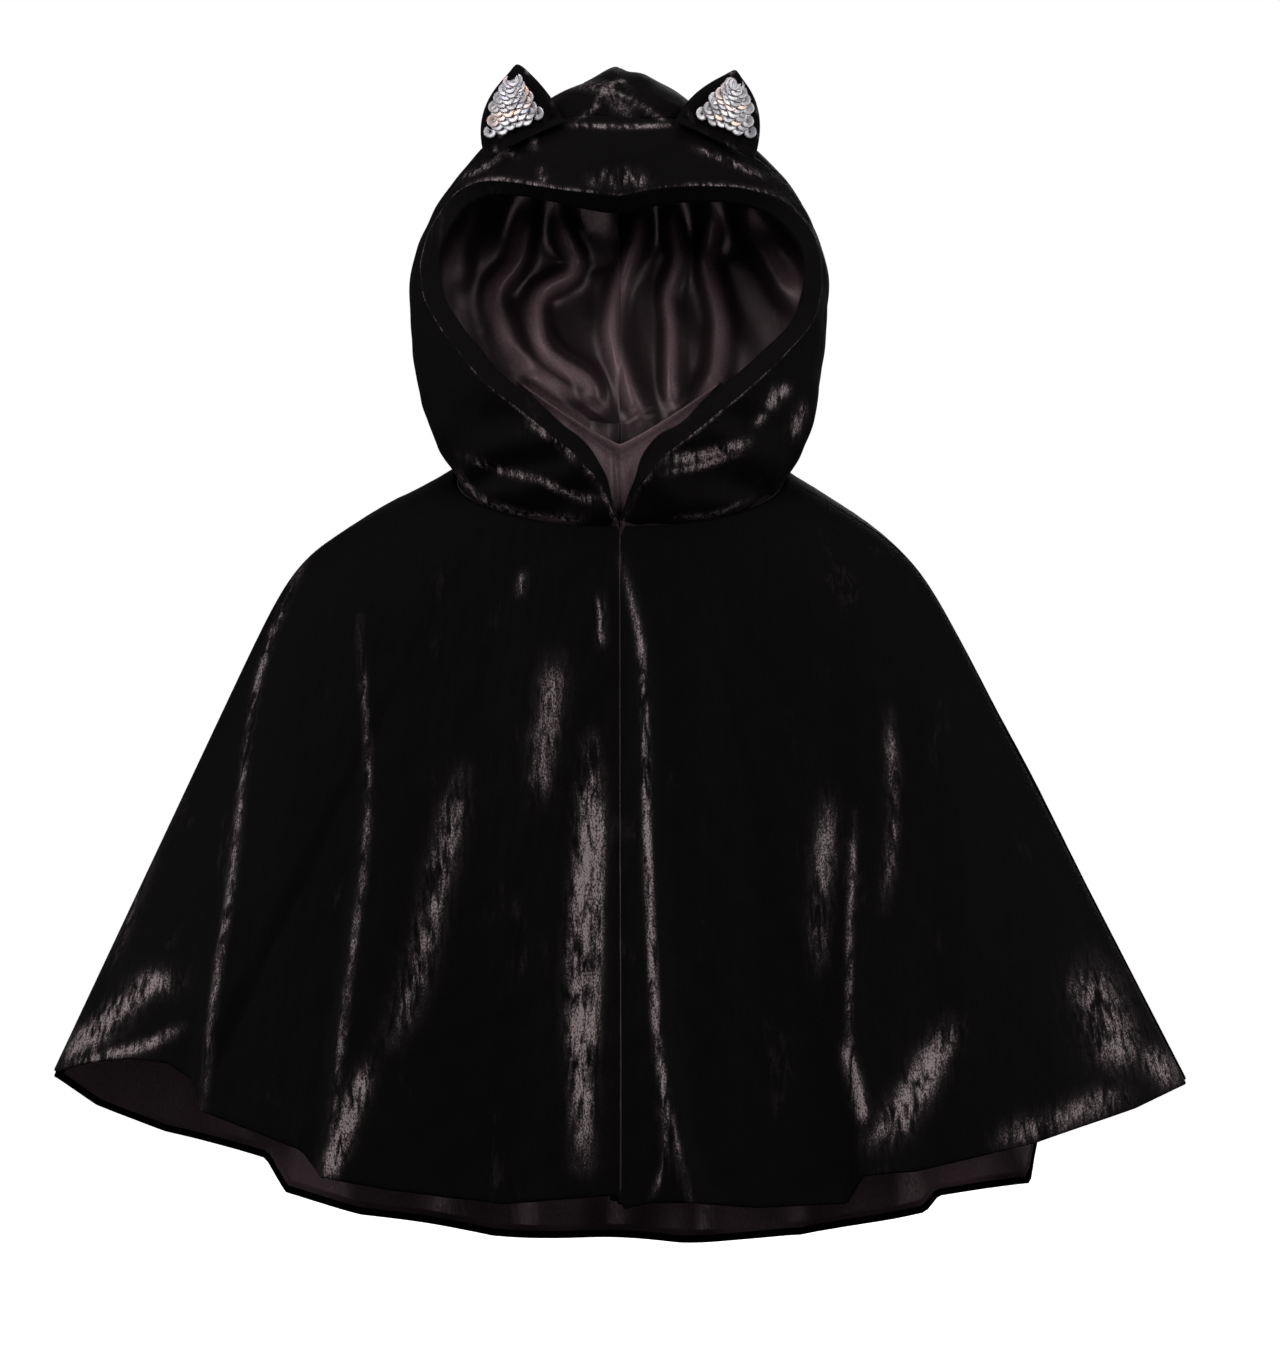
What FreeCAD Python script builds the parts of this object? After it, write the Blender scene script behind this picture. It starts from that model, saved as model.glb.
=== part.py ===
import FreeCAD, Part

# A child's hooded velvet cape with two padded cat ears, hanging as it is worn.
# Millimetres, +Z up, the wearer faces -Y, +X is the wearer's left.
# The origin is the centre of the neck seam, which is a tilted ellipse.

import math
import os

from FreeCAD import Vector

# Neck seam
NECK_HALF_WIDTH = 105.0
NECK_HALF_DEPTH = 42.0
NECK_HALF_RISE = 31.0

# Cape: the hem, the shoulder knee and the soft flutes
HEM_HALF_WIDTH = 362.0
HEM_FRONT_DEPTH = 106.0
HEM_BACK_DEPTH = 112.0
HEM_FRONT_Z = -461.0
HEM_SIDE_Z = -386.0
HEM_BACK_Z = -489.0
KNEE_SHARE = 0.22
KNEE_SOFTNESS = 0.035
SHOULDER_OUT = 30.0
SHOULDER_UP = 36.0
BACK_OUT = 25.0
FLUTE_DEPTH = 7.0
FLUTE_COUNT = 14
FOLD_ANGLE = 30.0
SIDE_SEAM_ANGLE = 90.0
SEAM_ANGLE_GAP = 0.15
CAPE_ROWS = 27
FLAP_COLUMNS = 13
SIDE_COLUMNS = 25
BACK_COLUMNS = 57
LINING_END = 0.985
FRONT_GAP = 0.6

# Hood
HOOD_LIFT = 1.5
HOOD_HALF_WIDTH = 135.0
HOOD_HALF_DEPTH = 75.0
HOOD_WIDEST_Z = 119.0
HOOD_TOP_Z = 261.0
HOOD_CENTRE_Y = 12.0
HOOD_TOP_Y = 10.0
LOWER_WIDTH_POWER = 0.41
LOWER_DEPTH_POWER = 0.59
UPPER_WIDTH_POWER = 1.7
UPPER_DEPTH_POWER = 1.0

# Face opening, seen from the front: X and Z on the wearer's left, from the neck to the top
FACE_SLOT = 0.8
FACE_BOTTOM_Z = -29.0
FACE_EDGE = ((20, 6), (58, 36), (98, 71), (123, 101), (128, 127), (122, 150), (106, 170), (82, 180))
FACE_TOP_Z = 178.0
FACE_DEEPEST_Y = 12.0
CUTTER_REACH = 200.0

# Ear seam, seen from the side: Y and Z, from above the crown to below the neck
EAR_SEAM = ((-60, 262), (-37, 229), (-12, 200), (6, 150), (12, 60), (12, -60))

# Layers of cloth, measured inward from the velvet's outer face
VELVET = 2.0
LINING_DEPTH = 3.2
LINING = 0.8
TAPE_DEPTH = 2.3
TAPE = 0.6
TAPE_END = 0.025
TAPE_ANGLE = FOLD_ANGLE + 0.5
LABEL_DEPTH = 4.4
LABEL = 0.4
LABEL_ANGLES = (SIDE_SEAM_ANGLE + 3.0, SIDE_SEAM_ANGLE + 9.0)
LABEL_SHARES = (0.70, 0.80)
SEAM_GAP = 0.3
HINGE_GAP = 0.5

# Ears: the base line's two ends on the wearer's left, and the outline above it
EAR_OUTER = Vector(87.0, -22.0, 206.0)
EAR_INNER = Vector(37.0, -36.0, 228.0)
EAR_TIP = (0.68, 40.0)
EAR_OUTER_BEND = (0.14, 31.0)
EAR_INNER_BEND = (0.98, 14.0)
EAR_COVER = 1.2
EAR_DOME = 2.8
EAR_POINTS = 9
COVER_SHARE = 0.6
COVER_SLIT = 0.1
COVER_RISES = (0, 0.97)
WADDING_SIDES = (0.15, 0.85)
WADDING_RISES = (0.12, 0.84)
WADDING_HALF = 0.3

# Sequins
SEQUIN_RADIUS = 3.5
SEQUIN_HOLE = 0.6
SEQUIN_SHEET = 0.2
SEQUIN_PITCH = 7.4
SEQUIN_TILT = 9.0
SEQUIN_CLEAR = 0.4
SEQUIN_ROWS = 9
SEQUIN_SIDES = (0.24, 0.78)
SEQUIN_RISES = (0.14, 0.74)
PATCH = 0.4
PATCH_GAP = 0.1
PATCH_SIDES = (0.16, 0.86)
PATCH_RISES = (0.1, 0.86)

# Hook and eye
WIRE_RADIUS = 0.5
HOOK_BEND = 1.5
HOOK_REACH = 3.0
HOOK_TAIL = 6.0
HOOK_RING_RADIUS = 2.2
HOOK_BILL_END = 0.5
EYE_RADIUS = 3.2
EYE_OVERLAP = 0.4
TAB_RADIUS = 2.0
TORUS_OVERLAP = 0.1
CLOSURE_DROP = 9.0
CLOSURE_INSET = 5.2


def lerp(low, high, share):
    return low + (high - low) * share


def smooth(share):
    share = min(max(share, 0.0), 1.0)
    return share * share * (3.0 - 2.0 * share)


def neck_point(angle):
    """A point of the neck seam; angle 0 is the centre front, 90 the wearer's left, 180 the back."""
    a = math.radians(angle)
    return Vector(
        NECK_HALF_WIDTH * math.sin(a),
        -NECK_HALF_DEPTH * math.cos(a),
        -NECK_HALF_RISE * math.cos(a),
    )


def hem_point(angle):
    """A point of the fluted hem."""
    a = math.radians(angle)
    front = math.cos(a) > 0
    depth = HEM_FRONT_DEPTH if front else HEM_BACK_DEPTH
    end_z = HEM_FRONT_Z if front else HEM_BACK_Z
    flute = FLUTE_DEPTH * math.cos(FLUTE_COUNT * a) * math.cos(a) ** 2
    share = math.cos(a) ** 2
    return Vector(
        HEM_HALF_WIDTH * math.sin(a),
        -(depth + flute) * math.cos(a),
        lerp(HEM_SIDE_Z, end_z, share),
    )


def knee_weight(angle):
    """How far the cloth is bent over the body: none in front, full at the shoulder and back."""
    from_front = min(angle, 360.0 - angle)
    return smooth((from_front - FOLD_ANGLE) / (SIDE_SEAM_ANGLE - FOLD_ANGLE))


def cape_point(angle, share):
    """The velvet's outer face, from the neck seam (share 0) to the hem (share 1)."""
    a = math.radians(angle)
    neck = neck_point(angle)
    hem = hem_point(angle)
    bulge = Vector(SHOULDER_OUT * math.sin(a), -BACK_OUT * math.cos(a), SHOULDER_UP)
    knee = neck + (hem - neck) * KNEE_SHARE + bulge * knee_weight(angle)
    past = KNEE_SOFTNESS * math.log1p(math.exp((share - KNEE_SHARE) / KNEE_SOFTNESS))
    upper = (knee - neck) * ((share - past) / KNEE_SHARE)
    lower = (hem - knee) * (past / (1.0 - KNEE_SHARE))
    return neck + upper + lower


def hood_point(angle, share):
    """The hood's outer face, from the neck seam (share 0) to the crown (share 1)."""
    a = math.radians(angle)
    first = math.asin(-HOOD_WIDEST_Z / (HOOD_TOP_Z - HOOD_WIDEST_Z))
    lift = lerp(first, 0.5 * math.pi, share)
    level = math.sin(lift)
    round_off = max(math.cos(lift), 0.0)
    width_power = LOWER_WIDTH_POWER if level < 0 else UPPER_WIDTH_POWER
    depth_power = LOWER_DEPTH_POWER if level < 0 else UPPER_DEPTH_POWER
    half_width = HOOD_HALF_WIDTH * round_off**width_power
    half_depth = HOOD_HALF_DEPTH * round_off**depth_power
    neck_tilt = math.atan2(NECK_HALF_RISE, NECK_HALF_DEPTH)
    tilt = neck_tilt * (1.0 - smooth(share / 0.6))
    rise = smooth(share / 0.5)
    centre = Vector(
        0,
        lerp(0.0, HOOD_CENTRE_Y, rise) + lerp(0, HOOD_TOP_Y - HOOD_CENTRE_Y, smooth(share * 2 - 1)),
        HOOD_WIDEST_Z + (HOOD_TOP_Z - HOOD_WIDEST_Z) * level + HOOD_LIFT,
    )
    slope = Vector(0, math.cos(tilt), math.sin(tilt))
    return centre + Vector(half_width * math.sin(a), 0, 0) - slope * (half_depth * math.cos(a))


def outward(surface, angle, share):
    """The unit normal of a surface, away from the wearer."""
    step = 0.002
    low = max(share - step, 0.0)
    high = min(share + step, 0.998)
    if high - low < step:
        low = high - 2 * step
    middle = 0.5 * (low + high)
    around = surface(angle + 0.5, middle) - surface(angle - 0.5, middle)
    along = surface(angle, high) - surface(angle, low)
    normal = around.cross(along)
    normal.normalize()
    return normal


def layer_face(surface, depth, angles, shares, turn):
    """One face of a layer of cloth, at a depth below the surface; turn is 1 or -1, for its normal."""
    grid = []
    for angle in angles:
        column = []
        for share in shares:
            inward = outward(surface, angle, share) * -turn
            column.append(surface(angle, share) + inward * depth)
        grid.append(column)
    return smooth_sheet(grid)


def smooth_sheet(grid):
    sheet = Part.BSplineSurface()
    sheet.interpolate(grid)
    return sheet


def border(sheet):
    """The four edges of a sheet, in the same order for every layer."""
    u0, u1, v0, v1 = sheet.bounds()
    curves = [sheet.uIso(u0), sheet.vIso(v1), sheet.uIso(u1), sheet.vIso(v0)]
    return [curve.toShape() for curve in curves]


def spread(first, last, count):
    return [lerp(first, last, i / (count - 1)) for i in range(count)]


def cloth(surface, depth, thickness, angles, shares, turn=1.0):
    """A closed layer of cloth between two depths below a surface."""
    outer = layer_face(surface, depth, angles, shares, turn)
    inner = layer_face(surface, depth + thickness, angles, shares, turn)
    faces = [outer.toShape(), inner.toShape()]
    return closed_solid(faces + walls(outer, inner))


def walls(outer, inner):
    """The faces that join two sheets round their edges, leaving out an edge that is only a point."""
    return [
        Part.makeRuledSurface(near, far)
        for near, far in zip(border(outer), border(inner))
        if near.Length > 0.01
    ]


def closed_solid(faces):
    shell = Part.Shell(faces)
    shell.sewShape()
    solid = Part.Solid(shell)
    if solid.Volume < 0:
        solid.reverse()
    return solid


def mirrored(shape):
    return shape.mirror(Vector(), Vector(1, 0, 0))


def export(name, shape):
    shape.exportStep(os.path.join("parts", name + ".step"))
    print(name, "valid" if shape.isValid() else "INVALID", len(shape.Solids), round(shape.Volume))


def cape_layer(depth, thickness, first, last, count, end):
    """A layer of the cape between two angles, from the neck seam to a share of the way to the hem."""
    angles = spread(first, last, count)
    return cloth(cape_point, depth, thickness, angles, spread(0.0, end, CAPE_ROWS), turn=-1.0)


def front_flaps():
    """The free front edge on each side, which swings out about the line where the cloth folds."""
    gap = math.degrees(HINGE_GAP / NECK_HALF_WIDTH)
    for material, depth, thickness, end in layers():
        flap = cape_layer(depth, thickness, 0.0, FOLD_ANGLE - gap, FLAP_COLUMNS, end)
        flap.translate(Vector(FRONT_GAP, 0, 0))
        export(material + "_front_flap_left", flap)
        export(material + "_front_flap_right", mirrored(flap))


def layers():
    """Name, depth, thickness and lower end of each of the cape's layers."""
    return (
        ("velvet", 0.0, VELVET, 1.0),
        ("lining", LINING_DEPTH, LINING, LINING_END),
    )


def front_sides():
    """The rest of each front panel, from the fold line to the side seam."""
    seam = SIDE_SEAM_ANGLE - SEAM_ANGLE_GAP
    for material, depth, thickness, end in layers():
        side = cape_layer(depth, thickness, FOLD_ANGLE + SEAM_ANGLE_GAP, seam, SIDE_COLUMNS, end)
        export(material + "_front_side_left", side)
        export(material + "_front_side_right", mirrored(side))


def cape_back():
    """The back panel, from one side seam to the other, in one piece."""
    for material, depth, thickness, end in layers():
        angles = (SIDE_SEAM_ANGLE + SEAM_ANGLE_GAP, 360 - SIDE_SEAM_ANGLE - SEAM_ANGLE_GAP)
        back = cape_layer(depth, thickness, *angles, BACK_COLUMNS, end)
        export(material + "_back", back)


def neck_tape():
    """The stay tape sewn round the neck seam, between the velvet and the lining."""
    angles = spread(TAPE_ANGLE, 360 - TAPE_ANGLE, 61)
    shares = spread(0.004, TAPE_END, 4)
    tape = cloth(cape_point, TAPE_DEPTH, TAPE, angles, shares, turn=-1.0)
    export("neck_stay_tape", tape)


def care_label():
    """A blank cloth label inside the side seam."""
    angles = spread(*LABEL_ANGLES, 7)
    shares = spread(*LABEL_SHARES, 4)
    label = cloth(cape_point, LABEL_DEPTH, LABEL, angles, shares, turn=-1.0)
    export("care_label", label)


def hood_layer(depth, thickness):
    """A whole layer of the hood, with no face opening yet, as its left and right halves."""
    left = cloth(hood_point, depth, thickness, spread(0, 180, 31), spread(0.0, 1.0, 25))
    return left, mirrored(left)


def spline_edge(points):
    curve = Part.BSplineCurve()
    curve.interpolate(points)
    return curve.toShape()


def face_cutter():
    """The space of the face opening, from in front of the hood back to its widest line."""
    y = -CUTTER_REACH
    side = [Vector(x, y, z) for x, z in FACE_EDGE]
    low = Vector(FACE_SLOT, y, FACE_BOTTOM_Z)
    across = [Vector(-p.x, p.y, p.z) for p in reversed(side)]
    rim = [low] + side + [Vector(0, y, FACE_TOP_Z)] + across + [Vector(-low.x, y, low.z)]
    below = Vector(0, 0, -20)
    bottom_left = rim[0] + below
    bottom_right = rim[-1] + below
    slot = Part.makePolygon([rim[-1], bottom_right, bottom_left, rim[0]])
    wire = Part.Wire([spline_edge(rim)] + slot.Edges)
    return Part.Face(wire).extrude(Vector(0, FACE_DEEPEST_Y - y, 0))


def ear_seam_cutter(gap):
    """All the space in front of the ear seam, moved back by a gap."""
    x = -CUTTER_REACH
    seam = [Vector(x, y + gap, z) for y, z in EAR_SEAM]
    corners = [Vector(x, -CUTTER_REACH, end.z) for end in (seam[-1], seam[0])]
    front = Part.makePolygon([seam[-1]] + corners + [seam[0]])
    wire = Part.Wire([spline_edge(seam)] + front.Edges)
    return Part.Face(wire).extrude(Vector(2 * CUTTER_REACH, 0, 0))


def side_cutter():
    """All the space on the wearer's left of the centre seam."""
    corner = Vector(SEAM_GAP / 2, -CUTTER_REACH, -0.5 * CUTTER_REACH)
    return Part.makeBox(CUTTER_REACH, 2 * CUTTER_REACH, 2 * CUTTER_REACH, corner)


def hood():
    """The velvet front band in one piece, the two crown pieces, and the two lining pieces."""
    face = face_cutter()
    left, right = hood_layer(0.0, VELVET)
    band = left.fuse(right).removeSplitter().cut(face).common(ear_seam_cutter(0.0))
    export("hood_front_band", one_solid(band))
    crown = left.cut(ear_seam_cutter(SEAM_GAP)).common(side_cutter())
    crown = one_solid(crown)
    export("hood_crown_left", crown)
    export("hood_crown_right", mirrored(crown))
    left, right = hood_layer(LINING_DEPTH, LINING)
    lining = one_solid(left.cut(face).common(side_cutter()))
    export("hood_lining_left", lining)
    export("hood_lining_right", mirrored(lining))


def one_solid(shape):
    """The largest solid of a shape that a cut made."""
    return max(shape.Solids, key=lambda solid: solid.Volume)


def bend(first, control, last, share):
    """A point of the curve from first to last that leans towards control."""
    rest = 1.0 - share
    return [
        rest * rest * a + 2.0 * rest * share * b + share * share * c
        for a, b, c in zip(first, control, last)
    ]


def ear_frame():
    """The ear's axes on the wearer's left: along the base inward, up, and to the front."""
    along = EAR_INNER - EAR_OUTER
    length = along.Length
    along.normalize()
    front = Vector(0, -1, 0)
    front = front - along * front.dot(along)
    front.normalize()
    up = front.cross(along)
    if up.z < 0:
        up = -up
    return length, along, up, front


def ear_flat(across, rise):
    """Where a share across and a share up the ear lie in its own plane."""
    length = ear_frame()[0]
    tip = (EAR_TIP[0] * length, EAR_TIP[1])
    outer = bend((0, 0), (EAR_OUTER_BEND[0] * length, EAR_OUTER_BEND[1]), tip, rise)
    inner = bend((length, 0), (EAR_INNER_BEND[0] * length, EAR_INNER_BEND[1]), tip, rise)
    return [lerp(a, b, across) for a, b in zip(outer, inner)]


def ear_dome(across, rise):
    """The ear's padding above its seam line, from 0 at the edge to EAR_DOME in the middle."""
    return EAR_DOME * math.sqrt(max(16 * across * (1 - across) * rise * (1 - rise), 0.0))


def ear_world(u, v, w):
    length, along, up, front = ear_frame()
    return EAR_OUTER + along * u + up * v + front * w


def ear_layer(near, far, sides, rises):
    """A solid between two heights above the ear's middle plane; near and far give a height each."""
    sheets = []
    for height in (near, far):
        grid = []
        for across in spread(*sides, EAR_POINTS):
            column = []
            for rise in spread(*rises, EAR_POINTS):
                u, v = ear_flat(across, rise)
                column.append(ear_world(u, v, height(ear_dome(across, rise))))
            grid.append(column)
        sheets.append(smooth_sheet(grid))
    return closed_solid([sheet.toShape() for sheet in sheets] + walls(*sheets))


def sequin(centre):
    """A flat round sequin with a hole, tilted so that it overlaps the row below like a shingle."""
    up, front = ear_frame()[2:]
    lean = math.radians(SEQUIN_TILT)
    axis = front * math.cos(lean) + up * math.sin(lean)
    disc = Part.makeCylinder(SEQUIN_RADIUS, SEQUIN_SHEET, centre, axis)
    hole = Part.makeCylinder(SEQUIN_HOLE, 2.0, centre - axis, axis)
    return disc.cut(hole)


def sequins():
    """Rows of sequins over the patch, each row half a pitch along from the one below."""
    discs = []
    tilted = SEQUIN_RADIUS * math.sin(math.radians(SEQUIN_TILT))
    lift = EAR_COVER + PATCH_GAP + PATCH + tilted + SEQUIN_CLEAR
    for row, rise in enumerate(spread(*SEQUIN_RISES, SEQUIN_ROWS)):
        start_u = ear_flat(SEQUIN_SIDES[0], rise)[0]
        end_u, v = ear_flat(SEQUIN_SIDES[1], rise)
        room = end_u - start_u
        count = max(int(room / SEQUIN_PITCH), 1)
        first_u = start_u + (room - (count - 1) * SEQUIN_PITCH) / 2 - (row % 2) * SEQUIN_PITCH / 4
        for i in range(count):
            u = first_u + i * SEQUIN_PITCH
            across = lerp(*SEQUIN_SIDES, (u - start_u) / room)
            discs.append(sequin(ear_world(u, v, lift + ear_dome(across, rise))))
    return Part.makeCompound(discs)


def ear_parts():
    """The pieces of the ear on the wearer's left; each height is above the ear's middle plane."""
    patch = EAR_COVER + PATCH_GAP

    def face(dome):
        return EAR_COVER + dome

    def cover_inside(dome):
        return COVER_SLIT + COVER_SHARE * dome

    def wadding_face(dome):
        return COVER_SHARE * dome - WADDING_HALF

    def opposite(height):
        return lambda dome: -height(dome)

    front_cover = ear_layer(face, cover_inside, (0, 1), COVER_RISES)
    back_cover = ear_layer(opposite(face), opposite(cover_inside), (0, 1), COVER_RISES)
    wadding = ear_layer(wadding_face, opposite(wadding_face), WADDING_SIDES, WADDING_RISES)
    net = ear_layer(lambda dome: patch + PATCH + dome, lambda dome: patch + dome, PATCH_SIDES, PATCH_RISES)
    return {
        "ear_front_cover": front_cover,
        "ear_back_cover": back_cover,
        "ear_wadding": wadding,
        "ear_sequin_patch": net,
        "ear_sequins": sequins(),
    }


def ears():
    for name, shape in ear_parts().items():
        export(name + "_left", shape)
        export(name + "_right", mirrored(shape))


def wire(path):
    """A round wire along a path of edges."""
    first = path.Edges[0]
    start = first.valueAt(first.FirstParameter)
    round_section = Part.Wire(Part.makeCircle(WIRE_RADIUS, start, first.tangentAt(first.FirstParameter)))
    return path.makePipeShell([round_section], True, False)


def closure():
    """The hook on the wearer's right and the eye on the left, just inside the neck."""
    drop = CLOSURE_DROP / (NECK_HALF_RISE - HEM_FRONT_Z)
    place = cape_point(0.0, drop) + Vector(0, CLOSURE_INSET, 0)
    back = 2 * HOOK_BEND
    shank = Part.makeLine(Vector(-HOOK_TAIL, 0, 0), Vector(HOOK_REACH, 0, 0))
    turn = Part.Arc(
        Vector(HOOK_REACH, 0, 0),
        Vector(HOOK_REACH + HOOK_BEND, HOOK_BEND, 0),
        Vector(HOOK_REACH, back, 0),
    ).toShape()
    bill = Part.makeLine(Vector(HOOK_REACH, back, 0), Vector(HOOK_BILL_END, back, 0))
    hook = wire(Part.Wire([shank, turn, bill]))
    ring_x = -HOOK_TAIL - HOOK_RING_RADIUS + 2 * TORUS_OVERLAP
    ring = Part.makeTorus(HOOK_RING_RADIUS, WIRE_RADIUS, Vector(ring_x, 0, 0), Vector(0, 1, 0))
    hook = hook.fuse(ring)
    hook.translate(place)
    export("closure_hook", one_solid(hook))
    loop_x = HOOK_REACH - EYE_OVERLAP + EYE_RADIUS
    eye = Part.makeTorus(EYE_RADIUS, WIRE_RADIUS, Vector(loop_x, HOOK_BEND, 0), Vector(0, 1, 0))
    tab_x = loop_x + EYE_RADIUS + TAB_RADIUS - TORUS_OVERLAP
    tab = Part.makeTorus(TAB_RADIUS, WIRE_RADIUS, Vector(tab_x, HOOK_BEND, 0), Vector(0, 1, 0))
    eye = eye.fuse(tab)
    eye.translate(place)
    export("closure_eye", one_solid(eye))


os.makedirs("parts", exist_ok=True)
front_flaps()
front_sides()
cape_back()
neck_tape()
care_label()
hood()
ears()
closure()
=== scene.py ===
import math

import bmesh
import bpy
import numpy as np
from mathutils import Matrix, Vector

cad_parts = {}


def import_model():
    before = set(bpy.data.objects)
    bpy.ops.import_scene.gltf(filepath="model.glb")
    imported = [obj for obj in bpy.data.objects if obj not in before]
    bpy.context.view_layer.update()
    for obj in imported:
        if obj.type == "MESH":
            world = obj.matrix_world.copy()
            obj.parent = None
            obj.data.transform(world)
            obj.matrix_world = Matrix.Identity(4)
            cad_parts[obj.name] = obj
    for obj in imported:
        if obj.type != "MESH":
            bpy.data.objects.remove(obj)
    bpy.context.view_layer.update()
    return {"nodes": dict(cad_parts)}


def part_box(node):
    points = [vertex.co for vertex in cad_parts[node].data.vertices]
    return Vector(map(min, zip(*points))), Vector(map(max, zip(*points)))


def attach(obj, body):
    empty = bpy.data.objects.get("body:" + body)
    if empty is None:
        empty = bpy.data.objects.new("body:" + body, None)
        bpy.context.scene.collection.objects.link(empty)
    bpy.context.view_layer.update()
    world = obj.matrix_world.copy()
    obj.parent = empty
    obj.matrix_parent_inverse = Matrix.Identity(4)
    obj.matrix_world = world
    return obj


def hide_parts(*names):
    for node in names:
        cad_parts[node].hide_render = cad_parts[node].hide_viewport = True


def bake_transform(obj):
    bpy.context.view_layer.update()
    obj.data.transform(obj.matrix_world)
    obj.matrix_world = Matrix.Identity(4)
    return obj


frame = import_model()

# A child's hooded velvet cape with cat ears. Lengths are millimetres until a mesh is made.
# +X is the wearer's left, -Y the way the wearer faces, +Z up; the origin is the neck seam's centre.
MM = 0.001


def node_box(node):
    low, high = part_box(node)
    return np.array(low) / MM, np.array(high) / MM


# Driving dimensions
HEM_HALF_WIDTH = node_box("velvet_back")[1][0]
HOOD_TOP_Z = node_box("hood_crown_left")[1][2] - 0.5
NECK_HALF_WIDTH, NECK_HALF_DEPTH, NECK_HALF_RISE = 105.0, 42.0, 31.0
HEM_FRONT_DEPTH, HEM_BACK_DEPTH = 102.0, 106.0
KNEE_SHARE, KNEE_SOFTNESS = 0.22, 0.035
SHOULDER_OUT = {"left": 27.0, "right": 44.0}
SHOULDER_UP, BACK_OUT = 37.0, 25.0
VIEW_CENTRE = np.array([12.8, 0.0, -133.4])
VIEW_HEIGHT, VIEW_DISTANCE = 876.8, 5000.0
FOLD_ANGLE, SIDE_ANGLE = 30.0, 90.0
# How far from its hinge each bend starts and ends
FRONT_BEND, HOOD_BEND, EAR_BEND = (5, 110), (4, 100), (-4.0, 4.0)
# Thickness of each cloth, and how near two points of a mesh lie when they are merged
VELVET, SATIN, EAR_VELVET, NET_CLOTH, TAPE_CLOTH, LABEL_CLOTH = 0.9, 0.5, 0.6, 0.25, 0.5, 0.3
SHEET_WELD, WADDING_WELD = 0.02, 0.15
# Turns in degrees and shares of the way from neck to hem, where the panels start and end, and their points
FRONT_START, NECK_START = 0.06, 0.004
FRONT_GRID, BACK_GRID = (210, 190), (330, 180)
FRONT_LINING_TURNS, BACK_LINING_TURNS = (1.0, 89.3), (90.7, 269.3)
FRONT_LINING_SHARES, BACK_LINING_SHARES = (0.006, 0.991), (0.006, 0.993)
LINING_ROWS, BACK_LINING_COLUMNS = 130, 240
PLEAT_FOOT_Z = -430.0
EDGE_RADIUS, HEM_STRIP, BACK_STRIP = 1.3, 6.0, 2.0
TURN_STEPS, STRIP_SHARES = 5, (0.34, 0.67, 1.0)
LINING_DEPTH = 4.2
LABEL_TURNS, LABEL_SHARES, LABEL_DEPTH = (93.0, 99.0), (0.70, 0.80), 6.0
TAPE_TURNS, TAPE_WIDTH, TAPE_DROP = (4, 356), 9, 1.5
CAPE_CENTRE = np.array([0.0, 0.0, -220.0])

HOOD_HALF_WIDTH, HOOD_HALF_DEPTH = 134.0, 74.0
HOOD_WIDEST_Z, HOOD_LIFT = 119.0, 1.5
HOOD_CENTRE_Y, HOOD_TOP_Y = 12.0, 10.0
LOWER_POWERS, UPPER_POWERS = (0.41, 0.59), (1.7, 1.0)
HOOD_CENTRE = np.array([0.0, 12.0, 110.0])
ROLL_RADIUS, ROLL_TURN, ROLL_STRIP = 3.0, 48.0, 12.0
FACING_REACH = {"left": 17.0, "right": 15.0}
ROLL_STEPS, FACING_STEPS = 5, 5
FACING_COLUMNS = ROLL_STEPS + FACING_STEPS
BAND_COLUMNS, CROWN_COLUMNS, SATIN_COLUMNS = 60, 110, 170
BAND_WIDTH, CROWN_WIDTH, CROWN_LENGTH = 70, 150, 160
SEAM_DIP, SEAM_REACH, RIM_RISE, RIM_REACH = 2.0, 4, 0.8, 7
CENTRE_DIP, CENTRE_REACH = 1.6, 3.5
SATIN_DEPTH, SATIN_TUCK, SATIN_TUCK_IN = 5.4, 20.0, 1.0

# X and Z below are as seen from VIEW_DISTANCE in front.
# The hem, from the wearer's right to the wearer's left: X and Z
FRONT_HEM = (
    (-366, -380), (-340, -373), (-315, -371), (-290, -374), (-273, -386), (-269, -405), (-235, -418),
    (-203, -431), (-190, -449), (-148, -456), (-74, -464), (-2, -459), (2, -468), (20, -464),
    (45, -464), (88, -467), (145, -464), (155, -447), (189, -444), (264, -426), (330, -403), (363, -387),
)
BACK_HEM = (
    (-366, -380), (-338, -399), (-291, -418), (-226, -435), (-214, -456), (-167, -470), (-81, -484),
    (39, -488), (115, -485), (196, -468), (204, -458), (262, -452), (268, -418), (330, -394), (363, -384),
)
# Pleats of the front: path in X and Z, height at the hem, half width of the steep side, reach of the soft one
PLEATS = (
    (((-200, -60), (-226, -110), (-238, -160), (-250, -260), (-263, -340), (-271, -410)), 16, 2.2, 60),
    (((-166, -110), (-163, -190), (-166, -250), (-178, -340), (-191, -452)), 12, 2.2, 50),
    (((152, -220), (145, -300), (144, -360), (150, -410), (151, -462)), 13, 2.2, 55),
)
EDGE_RIDGE = ((1, -53), (13, -105), (16, -150), (18, -243), (24, -361), (34, -420), (45, -464))
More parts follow.
